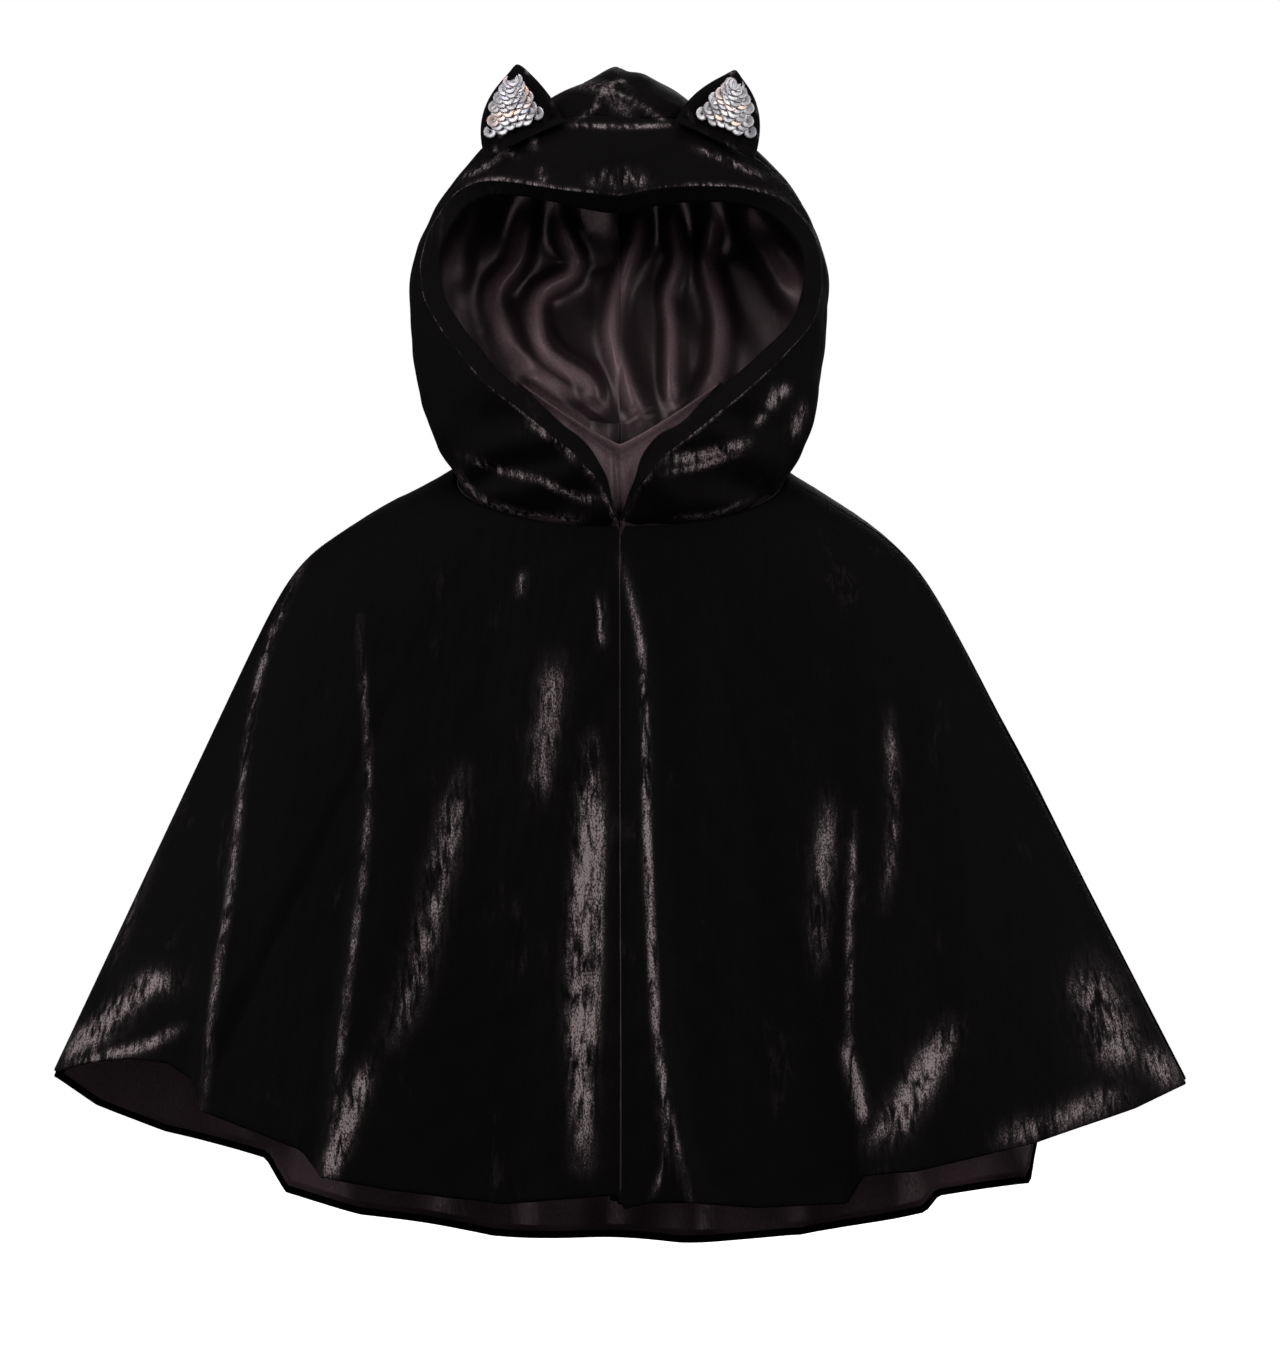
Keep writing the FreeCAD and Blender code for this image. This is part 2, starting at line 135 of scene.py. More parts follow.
# Painted highlights on the velvet, laid where its folds catch the light: path in X and Z, half width,
# strength
FRONT_PAINTED_HIGHLIGHTS = (
    (((-18, -170), (-22, -250), (-27, -330), (-24, -400), (-24, -440)), 7, 1.0),
    (((-13, -190), (-15, -300), (-19, -390)), 4, 0.7),
    (((-42, -118), (-46, -160), (-52, -205)), 8, 0.5),
    (((-13, -76), (-12, -108)), 3, 0.7),
    (((-101, -190), (-117, -260), (-130, -320), (-146, -360)), 8, 0.6),
    (((-162, -378), (-176, -418), (-187, -449)), 6, 0.9),
    (((134, -205), (129, -260), (126, -315)), 6, 0.5),
    (((172, -150), (175, -220), (169, -276)), 4, 0.4),
    (((144, -362), (157, -414)), 4, 0.9),
    (((212, -354), (180, -408), (164, -424)), 9, 0.9),
    (((300, -322), (311, -350), (322, -372)), 15, 0.6),
    (((340, -372), (352, -384)), 9, 0.6),
    (((243, -424), (280, -412), (326, -393)), 8, 0.5),
    (((-355, -374), (-333, -353), (-304, -328), (-284, -322)), 8, 0.8),
    (((-355, -376), (-307, -365), (-280, -352)), 3.5, 0.7),
    (EDGE_RIDGE, 2.4, 0.9),
    (((25, -400), (29, -437), (20, -462)), 2.0, 0.6),
    (((-196, -40), (-224, -105), (-237, -160), (-249, -260), (-261, -340), (-267, -408)), 2.4, 0.6),
    (((-167, -90), (-161, -190), (-164, -250), (-176, -340), (-188, -450)), 2.2, 0.55),
    (((150, -215), (147, -300), (147, -360), (153, -410)), 2.2, 0.5),
    (((-62, -62), (-63, -76)), 3, 0.6),
    (((-330, -322), (-300, -240), (-275, -180)), 5, 0.3),
)
# Painted highlights on the hood's velvet: path in X and Z, half width, strength
HOOD_PAINTED_HIGHLIGHTS = (
    (((-102, 14), (-76, 4), (-52, -2), (-39, -8), (-23, -14), (-8, -14)), 2.4, 0.8),
    (((-104, 4), (-92, -12), (-76, -20), (-52, -26), (-20, -28)), 2.4, 0.7),
    (((-58, 34), (-39, 21), (-29, 12), (-14, -3)), 2.4, 0.7),
    (((29, 10), (55, 14), (82, 22)), 3.2, 0.9),
    (((28, 2), (55, 8), (76, 15)), 2.0, 0.8),
    (((96, 46), (101, 53), (106, 56)), 4.0, 1.0),
    (((88, 34), (92, 39)), 2.4, 0.7),
    (((118, 46), (110, 26)), 4.0, 0.5),
    (((30, -27), (60, -24), (85, -14)), 2.0, 0.4),
    (((-29, 227), (-15, 237), (-13, 243), (-6, 251), (2, 253), (8, 245)), 1.3, 0.6),
    (((-6, 247), (4, 243), (20, 233), (31, 226)), 1.3, 0.55),
    (((-34, 225), (0, 224), (38, 225)), 1.6, 0.7),
    (((-56, 218), (-55, 209)), 2.0, 0.7),
    (((-51, 198), (-49, 188)), 2.2, 0.7),
    (((-18, 189), (0, 192), (16, 189)), 5.0, 0.8),
    (((-2, 196), (-3, 184)), 2.4, 0.8),
    (((47, 210), (71, 201), (92, 191)), 2.2, 0.8),
    (((31, 184), (57, 186), (98, 181)), 2.0, 0.9),
    (((-102, 191), (-84, 200), (-74, 208), (-66, 204)), 2.2, 0.7),
    (((-100, 187), (-76, 190), (-40, 184), (-6, 179)), 1.8, 0.6),
)
# Strength of the painted highlight along the face opening's rim
RIM_PAINTED_HIGHLIGHT = 0.42
# The face opening from its foot at the neck to its top: X and Z, on the wearer's left and right
LEFT_EDGE = (
    (2.5, -28), (8, -16), (17, -2), (33, 15), (62, 38), (101, 73), (123, 99), (128, 125), (124, 149),
    (115, 165), (98, 178), (72, 183), (33, 183), (0, 177),
)
RIGHT_EDGE = (
    (2.5, -28), (7.5, -17), (14, -4), (24, 7), (44, 25), (65, 42), (89, 63), (104, 82), (120, 104),
    (126.5, 126), (124, 147), (112, 172), (94, 186), (74, 187), (36, 181), (0, 177),
)
# The ear seam over the hood: turn from the centre front, and distance from the top (1 is the neck)
EAR_SEAM = ((106.6, 1.0), (96.5, 0.784), (85, 0.531), (70, 0.361), (34, 0.288), (0, 0.28))
# Ridges of satin inside the hood: path in X and Z, half width, height
SATIN_RIDGES = (
    (((-58, 186), (-63, 163), (-68, 137), (-82, 116), (-76, 94), (-65, 75), (-39, 55), (-17, 49)), 7.5, 9),
    (((-42, 184), (-37, 155), (-29, 132), (-51, 116), (-54, 98), (-47, 77), (-21, 59), (-17, 50), (-22, 41)),
     7, 9),
    (((14, 186), (12, 157), (4, 133), (-3, 110), (-5, 86), (5, 55), (18, 24)), 7.5, 9),
    (((33, 188), (35, 161), (38, 139), (31, 114), (33, 91), (33, 51), (39, 32)), 6, 8),
    (((60, 188), (61, 161), (57, 137), (63, 110), (65, 91), (61, 61), (42, 36)), 7.5, 9),
    (((78, 184), (92, 151), (104, 130), (117, 106)), 9, 7),
    (((-90, 178), (-104, 146), (-106, 118)), 8, 4),
    (((-66, 62), (-39, 43), (-4, 19)), 6, 8),
    (((69, 55), (51, 39), (20, 20)), 4, 7),
)
SATIN_CREASES = (
    (((-60, 126), (-29, 129), (-6, 137)), 2.0, 2.2),
    (((28, 136), (43, 135)), 2.0, 1.5),
)
EAR_OUTER = np.array([87.0, -22.0, 206.0])
EAR_INNER = np.array([37.0, -36.0, 228.0])
EAR_TIP_SHARE, EAR_TIP_HEIGHT = {1: 0.62, -1: 0.80}, 41.0
EAR_REACH, EAR_CAP = 0.93, 3.0
EAR_DOME, EAR_HOLLOW, EAR_FOOT_DROP = {1: 4.6, -1: 4.2}, 1.6, 40
PATCH_MIDDLE, PATCH_WIDTH, PATCH_RISES = 0.46, 0.34, (0.15, 0.83)
PATCH_SINK, NET_SINK, WADDING_DOME = 0.6, 0.5, 2.4
# Sequins: radius and cup, sides, rows with their first rise and steps, and how far the rows arch
SEQUIN_RADIUS, SEQUIN_CUP, SEQUIN_SIDES = 4.4, 0.45, 12
SEQUIN_ROWS, FIRST_ROW, ROW_STEP, COLUMN_STEP, ROW_ARCH = 9, 0.80, 0.088, 0.105, 0.9
# Rings of a sequin, from its hole over its face and back under it: share of the radius, share of the cup
SEQUIN_RINGS = (
    (0.16, 0.0), (0.45, 0.12), (0.78, 0.42), (1.0, 0.55), (1.0, 0.50), (0.78, 0.34), (0.45, 0.04),
    (0.16, -0.08),
)
SEQUIN_SEED = 71
# Area lights, in metres and watts: name, place, width, height, power
LIGHTS = (
    ("key_left", (-1.9, -2.4, 1.5), 1.2, 1.6, 42),
    ("key_right", (2.1, -2.3, 1.1), 1.0, 1.6, 30),
    ("strip_left", (-2.3, -0.2, 0.1), 0.5, 1.8, 14),
    ("strip_right", (2.3, -0.2, 0.1), 0.5, 1.8, 14),
    ("top", (0.0, -0.4, 2.3), 1.6, 0.8, 16),
    ("low_front", (0.0, -3.2, -1.1), 1.8, 0.5, 24),
    ("back", (0.6, 2.6, 1.2), 1.6, 1.6, 22),
)
LIT_POINT, FLOOR_REACH, FLOOR_Z = (0, 0, -0.12), 6.0, -0.62
SENSOR_WIDTH, CLIP_END = 36.0, 50.0
# Steps between two points of a curve, points of a mark's path, and how marks fade at their ends
CURVE_STEPS, PATH_POINTS, FADE_SHARE, FADE_LEAST = 24, 40, 0.18, 0.25
WAVE_COUNT = 9


def lerp(low, high, share):
    return low + (high - low) * share


def seen(points):
    """X and Z of points as they look from the front, at the view's distance."""
    scale = VIEW_DISTANCE / (VIEW_DISTANCE + points[..., 1])
    return (VIEW_CENTRE[0] + (points[..., 0] - VIEW_CENTRE[0]) * scale,
            VIEW_CENTRE[2] + (points[..., 2] - VIEW_CENTRE[2]) * scale)


def moving_average(field, times):
    """Smooths values along their first direction, and keeps both ends."""
    field = field.copy()
    for _ in range(times):
        field[1:-1] = (field[:-2] + 2 * field[1:-1] + field[2:]) / 4
    return field


def smooth(share):
    share = np.clip(share, 0.0, 1.0)
    return share * share * (3.0 - 2.0 * share)


def across(points, z):
    """X of a path that runs downward, at height z."""
    x, heights = zip(*reversed(points))
    return np.interp(z, heights, x)


def waves(x, z, seed, size, tall=1.0):
    """Smooth seeded noise between about -1 and 1; size is its wavelength, tall stretches it upward."""
    rng = np.random.default_rng(seed)
    total = 0.0
    for _ in range(WAVE_COUNT):
        turn, shift = rng.uniform(0, math.tau, 2)
        rate = math.tau / (size * rng.uniform(0.6, 1.7))
        total = total + np.sin(x * rate * math.cos(turn) + z * rate * math.sin(turn) / tall + shift)
    return total / math.sqrt(WAVE_COUNT) / 1.4


def curve(points, count):
    """Points spaced evenly along a smooth curve (Catmull-Rom) through a few points."""
    p = np.array(points, float)
    p = np.concatenate([[2 * p[0] - p[1]], p, [2 * p[-1] - p[-2]]])
    t = np.linspace(0, 1, CURVE_STEPS, endpoint=False)[:, None]
    fine = []
    for a, b, c, d in zip(p, p[1:], p[2:], p[3:]):
        fine.append(0.5 * (2 * b + (c - a) * t + (2 * a - 5 * b + 4 * c - d) * t**2
                           + (3 * b - a - 3 * c + d) * t**3))
    fine = np.concatenate(fine + [p[-2:-1]])
    run = np.concatenate([[0], np.cumsum(np.linalg.norm(np.diff(fine, axis=0), axis=1))])
    at = np.linspace(0, run[-1], count)
    return np.stack([np.interp(at, run, fine[:, i]) for i in range(p.shape[1])], -1)


def near(x, z, path, width):
    """1 on a path, falling to 0 beside it, and fading towards its two ends."""
    points = curve(path, PATH_POINTS)
    best = np.zeros_like(x)
    for i, (a, b) in enumerate(zip(points, points[1:])):
        run = b - a
        t = np.clip(((x - a[0]) * run[0] + (z - a[1]) * run[1]) / (run @ run), 0, 1)
        distance2 = (x - a[0] - t * run[0]) ** 2 + (z - a[1] - t * run[1]) ** 2
        along = (i + t) / (len(points) - 1)
        ends = smooth(along / FADE_SHARE) * smooth((1 - along) / FADE_SHARE)
        fade = ends * (1 - FADE_LEAST) + FADE_LEAST
        best = np.maximum(best, np.exp(-distance2 / width**2) * fade)
    return best


# Painted highlights: how strongly each point lies on one of the listed highlight paths
def painted_light_and_tone(points, marks):
    x, z = seen(points)
    total = np.zeros_like(x)
    for path, width, strength in marks:
        total = np.maximum(total, strength * near(x, z, path, width))
    return total


def grid_normals(points, centre):
    """Unit normals of a grid of points, facing away from a centre."""
    n = np.cross(np.gradient(points, axis=0), np.gradient(points, axis=1))
    n = n / np.maximum(np.linalg.norm(n, axis=-1, keepdims=True), 1e-9)
    return n if np.sum(n * (points - centre)) > 0 else -n


def unit(field):
    return field / np.maximum(np.linalg.norm(field, axis=-1, keepdims=True), 1e-9)


def soften(field, times):
    """Smooths a grid of unit vectors along both directions, keeping its borders."""
    field = moving_average(field, times)
    return unit(moving_average(field.swapaxes(0, 1), times).swapaxes(0, 1))


def turn_in(points, out, radius, strip):
    """Adds columns after the last one, that turn the cloth inward and run back under it."""
    edge = points[:, -1]
    on = unit(moving_average(unit(edge - points[:, -6]), 12))
    side = unit(moving_average(out[:, -1], 12))
    columns = [points]
    for i in range(1, TURN_STEPS + 1):
        turn = math.pi * i / TURN_STEPS
        down = side * (radius * (1 - math.cos(turn)))
        columns.append((edge + on * (radius * math.sin(turn)) - down)[:, None])
    back = columns[-1][:, 0]
    for share in STRIP_SHARES:
        columns.append((back - on * strip * share)[:, None])
    added = [side[:, None]] * (TURN_STEPS + len(STRIP_SHARES))
    return np.concatenate(columns, 1), np.concatenate([out] + added, 1)


def grid_mesh(name, points, centre, marks=None):
    """A mesh of quads from a grid of points in millimetres, facing away from a centre."""
    rows, columns = points.shape[:2]
    index = np.arange(rows * columns).reshape(rows, columns)
    faces = np.stack([index[:-1, :-1], index[1:, :-1], index[1:, 1:], index[:-1, 1:]], -1).reshape(-1, 4)
    n = np.cross(np.gradient(points, axis=0), np.gradient(points, axis=1))
    if np.sum(n * (points - centre)) < 0:
        faces = faces[:, ::-1]
    mesh = bpy.data.meshes.new(name)
    mesh.from_pydata((points.reshape(-1, 3) * MM).tolist(), [], faces.tolist())
    if marks is not None:
        # The values go to an attribute that the materials read as painted light, mixed on some pieces with
        # random tone
        layer = mesh.attributes.new("painted_light_and_tone", "FLOAT", "POINT")
        layer.data.foreach_set("value", marks.astype(np.float32).ravel())
    mesh.polygons.foreach_set("use_smooth", [True] * len(mesh.polygons))
    return place(name, mesh)


def place(name, mesh):
    thing = bpy.data.objects.new(name, mesh)
    bpy.context.scene.collection.objects.link(thing)
    return thing


def weld(thing, gap):
    """Merges the points of a mesh that lie within a gap in millimetres."""
    mesh = bmesh.new()
    mesh.from_mesh(thing.data)
    bmesh.ops.remove_doubles(mesh, verts=mesh.verts, dist=gap * MM)
    mesh.to_mesh(thing.data)
    mesh.free()
    return thing


def thicken(thing, thickness):
    """Merges a sheet's doubled points and gives it its real thickness, inward from its face."""
    weld(thing, SHEET_WELD)
    solid = thing.modifiers.new("thickness", "SOLIDIFY")
    solid.thickness = thickness * MM
    solid.offset = -1
    depsgraph = bpy.context.evaluated_depsgraph_get()
    final = bpy.data.meshes.new_from_object(thing.evaluated_get(depsgraph))
    thing.modifiers.clear()
    thing.data = final
    return thing


# ---------------------------------------------------------------- cape

def neck_ring(angle):
    a = np.radians(angle)
    return np.stack([NECK_HALF_WIDTH * np.sin(a), -NECK_HALF_DEPTH * np.cos(a),
                     -NECK_HALF_RISE * np.cos(a)], -1)


def hem_ring(angle, front):
    a = np.radians(angle)
    x = HEM_HALF_WIDTH * np.sin(a)
    outline = FRONT_HEM if front else BACK_HEM
    y = -(HEM_FRONT_DEPTH if front else HEM_BACK_DEPTH) * np.cos(a)
    away = (VIEW_DISTANCE + y) / VIEW_DISTANCE
    seen_x = VIEW_CENTRE[0] + (x - VIEW_CENTRE[0]) / away
    z = VIEW_CENTRE[2] + (np.interp(seen_x, *zip(*outline)) - VIEW_CENTRE[2]) * away
    return np.stack([x, y, z], -1)


def cape_base(angle, share, front):
    """The cape's smooth face, from the neck seam (share 0) to the hem (share 1)."""
    a = np.radians(angle)
    neck, hem = neck_ring(angle), hem_ring(angle, front)
    turned = np.abs((angle + 180.0) % 360.0 - 180.0)
    rounded = smooth((turned - FOLD_ANGLE) / (SIDE_ANGLE - FOLD_ANGLE))[..., None]
    shoulder = np.where(np.sin(a) > 0, SHOULDER_OUT["left"], SHOULDER_OUT["right"]) * np.sin(a)
    bulge = np.stack([shoulder, -BACK_OUT * np.cos(a), np.full_like(a, SHOULDER_UP)], -1)
    knee = neck + (hem - neck) * KNEE_SHARE + bulge * rounded
    past = (KNEE_SOFTNESS * np.log1p(np.exp((share - KNEE_SHARE) / KNEE_SOFTNESS)))[..., None]
    upper = (knee - neck) * ((share[..., None] - past) / KNEE_SHARE)
    return neck + upper + (hem - knee) * (past / (1.0 - KNEE_SHARE))


def front_relief(x, z, share):
    out = 4.5 * share * waves(x, z, 3, 150, 4)
    out = out + 1.5 * smooth(share * 4) * waves(x, z, 4, 46, 5)
    out = out + 0.30 * waves(x, z, 5, 13, 3)
    for path, height, flank, reach in PLEATS:
        grow = smooth((path[0][1] - z) / (path[0][1] - PLEAT_FOOT_Z)) ** 0.7
        d = x - across(path, z)
        out = out + height * grow / (1 + np.exp(-d / flank)) * np.exp(-np.maximum(d, 0) / reach)
    d = x - across(EDGE_RIDGE, z)
    return out + 4.0 * smooth(share * 8) * np.exp(-((d / (4 + 8 * share)) ** 2))


def back_relief(x, z, share):
    flute = np.cos(x / 21.0 + 0.8 * np.sin(x / 90.0)) * (1.0 + 8.0 * share**1.5)
    out = flute * smooth(share * 3) + 3.0 * share * waves(x, z, 7, 130, 4)
    return out + 1.2 * waves(x, z, 8, 50, 4) + 0.3 * waves(x, z, 9, 13, 3)


def cape_panel(angles, shares, front, depth):
    """A grid of one panel: its points, its outward normals and where it lies."""
    angle, share = np.meshgrid(angles, shares, indexing="ij")
    base = cape_base(angle, share, front)
    out = soften(grid_normals(base, CAPE_CENTRE), 2)
    x, z = seen(base)
    relief = front_relief(x, z, share) if front else back_relief(x, z, share)
    fade = np.sqrt(np.abs(np.cos(np.radians(angle)))) * smooth(share / 0.05)
    points = base + out * (relief * fade - depth)[..., None]
    return points, grid_normals(points, CAPE_CENTRE)


def cape_front(side, sign):
    columns, rows = FRONT_GRID
    angles = np.linspace(FRONT_START, SIDE_ANGLE, columns) * sign
    shares = np.linspace(NECK_START, 1.0, rows)
    points, out = cape_panel(angles, shares, True, 0.0)
    points, out = turn_in(points, out, EDGE_RADIUS, HEM_STRIP)
    points, out = points[::-1].swapaxes(0, 1), out[::-1].swapaxes(0, 1)
    points = turn_in(points, out, EDGE_RADIUS, HEM_STRIP)[0].swapaxes(0, 1)
    # Painted highlights along the front's folds and edges
    marks = painted_light_and_tone(points, FRONT_PAINTED_HIGHLIGHTS)
    piece = grid_mesh(f"front_velvet_{side}", points, CAPE_CENTRE, marks)
    return thicken(piece, VELVET)


def painted_satin_highlights(points):
    """Painted highlights: random patches where the cape's satin is painted paler, as if catching the light.
    """
    return 0.75 * smooth(0.5 + 0.9 * waves(points[..., 0], points[..., 2] * 0.4, 47, 90, 2))


def facing_edge(shares, sign):
    """The satin's front edge, that comes up between the two fronts and shows as a thin line."""
    rows = []
    for turn, depth in ((FRONT_START, 0.5), (0.0, 0.35), (-0.02, 0.5), (-0.02, 3.0)):
        points, _ = cape_panel(sign * np.array([turn, turn + 0.4, turn + 0.8]), shares, True, depth)
        rows.append(points[:1])
    return np.concatenate(rows)


def front_lining(side, sign):
    angles = np.linspace(*FRONT_LINING_TURNS, LINING_ROWS) * sign
    shares = np.linspace(*FRONT_LINING_SHARES, LINING_ROWS)
    points, _ = cape_panel(angles, shares, True, LINING_DEPTH)
    # The lining's painted highlights
    mask = painted_satin_highlights(points)
    if side == "right":
        facing = facing_edge(shares, sign)
        points = np.concatenate([facing, points])
        mask = np.concatenate([0.12 * smooth(waves(facing[..., 0], facing[..., 2], 48, 40)), mask])
    return thicken(grid_mesh(f"front_satin_{side}", points, CAPE_CENTRE, mask), SATIN)


def cape_back():
    columns, rows = BACK_GRID
    angles = np.linspace(SIDE_ANGLE, 360.0 - SIDE_ANGLE, columns)
    points, out = cape_panel(angles, np.linspace(NECK_START, 1.0, rows), False, 0.0)
    points, _ = turn_in(points, out, EDGE_RADIUS, BACK_STRIP)
    # Painted highlights in random patches, fading in towards the back
    painted_back_glints = smooth(waves(points[..., 0], points[..., 2], 21, 60, 7) - 0.5)
    marks = 0.4 * painted_back_glints * smooth(points[..., 1] / 60.0)
    return thicken(grid_mesh("back_velvet", points, CAPE_CENTRE, marks), VELVET)


def back_lining():
    angles = np.linspace(*BACK_LINING_TURNS, BACK_LINING_COLUMNS)
    shares = np.linspace(*BACK_LINING_SHARES, LINING_ROWS)
    points, _ = cape_panel(angles, shares, False, LINING_DEPTH)
    # Painted light: the painted highlights over an even painted lift, that brightens the back lining where it
    # lies in the front's shade
    mask = painted_satin_highlights(points) * 0.6 + 0.4
    return thicken(grid_mesh("back_satin", points, CAPE_CENTRE, mask), SATIN)


# ---------------------------------------------------------------- hood

NECK_TILT = math.atan2(NECK_HALF_RISE, NECK_HALF_DEPTH)
HOOD_UP = np.array([0.0, -math.sin(NECK_TILT), math.cos(NECK_TILT)])
FIRST_LIFT = math.asin(-HOOD_WIDEST_Z / (HOOD_TOP_Z - HOOD_WIDEST_Z))


def hood_rings(r):
    """Half width, half depth, tilt, centre Y and centre Z of the hood's rings; r is 1 at the neck."""
    share = 1.0 - r
    lift = lerp(FIRST_LIFT, math.pi / 2, share)
    level = np.sin(lift)
    round_off = np.maximum(np.cos(lift), 1e-6)
    width_power = np.where(level < 0, LOWER_POWERS[0], UPPER_POWERS[0])
    depth_power = np.where(level < 0, LOWER_POWERS[1], UPPER_POWERS[1])
    tilt = NECK_TILT * (1.0 - smooth(share / 0.6))
    centre_y = HOOD_CENTRE_Y * smooth(share / 0.5) + (HOOD_TOP_Y - HOOD_CENTRE_Y) * smooth(share * 2 - 1)
    centre_z = HOOD_LIFT + HOOD_WIDEST_Z + (HOOD_TOP_Z - HOOD_WIDEST_Z) * level
    return (HOOD_HALF_WIDTH * round_off**width_power, HOOD_HALF_DEPTH * round_off**depth_power,
            tilt, centre_y, centre_z)


def hood_base(angle, r):
    a = np.radians(angle)
    width, depth, tilt, y, z = hood_rings(r)
    return np.stack([width * np.sin(a), y - np.cos(tilt) * depth * np.cos(a),
                     z - np.sin(tilt) * depth * np.cos(a)], -1)


def find_on_hood(x, z):
    """Turn and r of the point of the hood's front that is seen at X and Z."""
    level = (z - HOOD_LIFT - HOOD_WIDEST_Z) / (HOOD_TOP_Z - HOOD_WIDEST_Z)
    for _ in range(60):
        lift = np.arcsin(np.clip(level, math.sin(FIRST_LIFT), 0.999))
        r = 1.0 - (lift - FIRST_LIFT) / (math.pi / 2 - FIRST_LIFT)
        width, depth, tilt, _, _ = hood_rings(r)
        a = np.arcsin(np.clip(x / width, -1, 1))
        aimed = z - HOOD_LIFT - HOOD_WIDEST_Z + np.sin(tilt) * depth * np.cos(a)
        aimed = aimed / (HOOD_TOP_Z - HOOD_WIDEST_Z)
        level = lerp(level, aimed, 0.5)
    return np.stack([np.degrees(a), r], -1)


def tuck(points, radius_in=2.5, drop=8.0, up=HOOD_UP):
    """Adds rows before the first one: the seam allowance, that runs down inside the neck."""
    foot = points[0]
    away = unit(foot * [1, 1, 0])
    rows = [foot - away * radius_in * share - up * drop * share for share in (1.0, 0.5)]
    return np.concatenate([np.stack(rows), points])


def plan(turn, r):
    """The hood's turn and r laid out flat."""
    return np.stack([r * np.sin(np.radians(turn)), r * np.cos(np.radians(turn))], -1)


def crown_patch(start, foot_turn, count):
    """From a curve over the hood to its back, as arches from the neck up to the centre."""
    w = np.linspace(0, 1, len(start))[:, None, None]
    v = np.linspace(0, 1, count)
    foot = plan(lerp(foot_turn, 180.0, v), np.ones_like(v))
    top = plan(np.zeros_like(v), lerp(start[-1, 1], -1.0, v**1.2))
    chord = lerp(foot[None], top[None], w)
    place_at = chord + ((1 - v) ** 2)[None, :, None] * (plan(*start.T)[:, None] - chord[:, :1])
    r = np.minimum(np.linalg.norm(place_at, axis=-1), 1.0)
    return np.stack([np.degrees(np.arctan2(place_at[..., 0], place_at[..., 1])), r], -1)


def hood_relief(p):
    x, z = seen(p)
    y = p[..., 1]
    out = 1.6 * waves(x + y, z, 31, 60, 1.5) + 0.7 * waves(x, z + y, 32, 24)
    out = out + 0.25 * waves(x + y, z, 33, 11)
    low = smooth((70 - z) / 60.0) * smooth((z + 34) / 20.0) * smooth((112 - np.abs(x)) / 25.0)
    out = out + 2.6 * low * np.sin((z + 0.35 * np.abs(x)) / 6.0 + 1.5 * waves(x, z, 34, 90))
    out = out - 3.0 * np.exp(-((x - 6) / 5.0) ** 2) * smooth((z - 228) / 20.0)
    peak = smooth((z - 222) / 25.0)
    out = out + 3.0 * peak * near(x, z, ((-48, 228), (-20, 232), (-8, 244), (-3, 256)), 5)
    return out + 3.0 * peak * near(x, z, ((45, 228), (26, 236), (12, 246)), 5)


def hood_half(patch, sign, depth, relief_of=hood_relief):
    """Points of half the hood, from its turns and r; the sign is 1 on the wearer's left, -1 on the right."""
    base = hood_base(patch[..., 0], patch[..., 1])
    out = soften(grid_normals(base, HOOD_CENTRE), 3)
    out[:, -1] = out[:, -2]
    out[np.abs(base[..., 0]) < 1e-6, 0] = 0.0
    base = base * [sign, 1, 1]
    out = out * [sign, 1, 1]
    relief = moving_average(moving_average(relief_of(base), 3).T, 3).T
    return base + out * (relief - depth)[..., None]


def edge_curves(count):
    curves = {}
    for side, points in (("left", LEFT_EDGE), ("right", RIGHT_EDGE)):
        line = curve(points, count)
        curves[side] = moving_average(find_on_hood(line[:, 0], line[:, 1]), 6)
        curves[side][-1, 0] = 0.0
    top = (curves["left"][-1, 1] + curves["right"][-1, 1]) / 2
    for line in curves.values():
        line[-1, 1] = top
    return curves


HOOD_ROWS, SEAM_SPACING = 120, 1.5
EDGES = edge_curves(HOOD_ROWS)


def seam_curve(count):
    """The ear seam's points, closer together near the neck so that they lie across from the face edge's."""
    line = curve(EAR_SEAM, 200)
    world = hood_base(line[:, 0], line[:, 1])
    run = np.concatenate([[0], np.cumsum(np.linalg.norm(np.diff(world, axis=0), axis=1))])
    at = run[-1] * np.linspace(0, 1, count) ** SEAM_SPACING
    return np.stack([np.interp(at, run, line[:, i]) for i in range(2)], -1)


def band_half(side, sign):
    """Half the band: from the end of its facing inside the hood, round the edge, to the ear seam."""
    along = np.linspace(0, 1, BAND_COLUMNS)[None, :, None]
    points = hood_half(lerp(EDGES[side][:, None], seam_curve(HOOD_ROWS)[:, None], along), sign, 0.0)
    inward = soften(grid_normals(points, HOOD_CENTRE), 2)
    points = points - inward * SEAM_DIP * np.exp(-(((1 - along) * BAND_WIDTH / SEAM_REACH) ** 2))
    points = points + inward * RIM_RISE * np.exp(-((along * BAND_WIDTH / RIM_REACH) ** 2))
    edge = points[:, 0]
    on = moving_average(unit(edge - points[:, 5]), 12)
    out = moving_average(grid_normals(points, HOOD_CENTRE)[:, 0], 12)
    on[-1, 0] = out[-1, 0] = 0.0
    on, out = unit(on), unit(out)
    facing = []
    for turn in np.radians(np.linspace(0, ROLL_TURN, ROLL_STEPS + 1)[1:]):
        down = out * (ROLL_RADIUS * (1 - math.cos(turn)))
        facing.append(edge + on * (ROLL_RADIUS * math.sin(turn)) - down)
    rolled = facing[-1]
    way = on * math.cos(math.radians(ROLL_TURN)) - out * math.sin(math.radians(ROLL_TURN))
    rows = np.linspace(0, 1, HOOD_ROWS)
    narrowed = lerp(0.06, 1.0, smooth((edge[:, 2] + 22) / 46))
    reach = lerp(FACING_REACH[side], ROLL_STRIP, smooth(rows)) * narrowed
    for share in np.linspace(0, 1, FACING_STEPS + 1)[1:]:
        facing.append(rolled + way * (reach * share)[:, None])
    return np.concatenate([np.stack(facing[::-1], 1), points], 1)


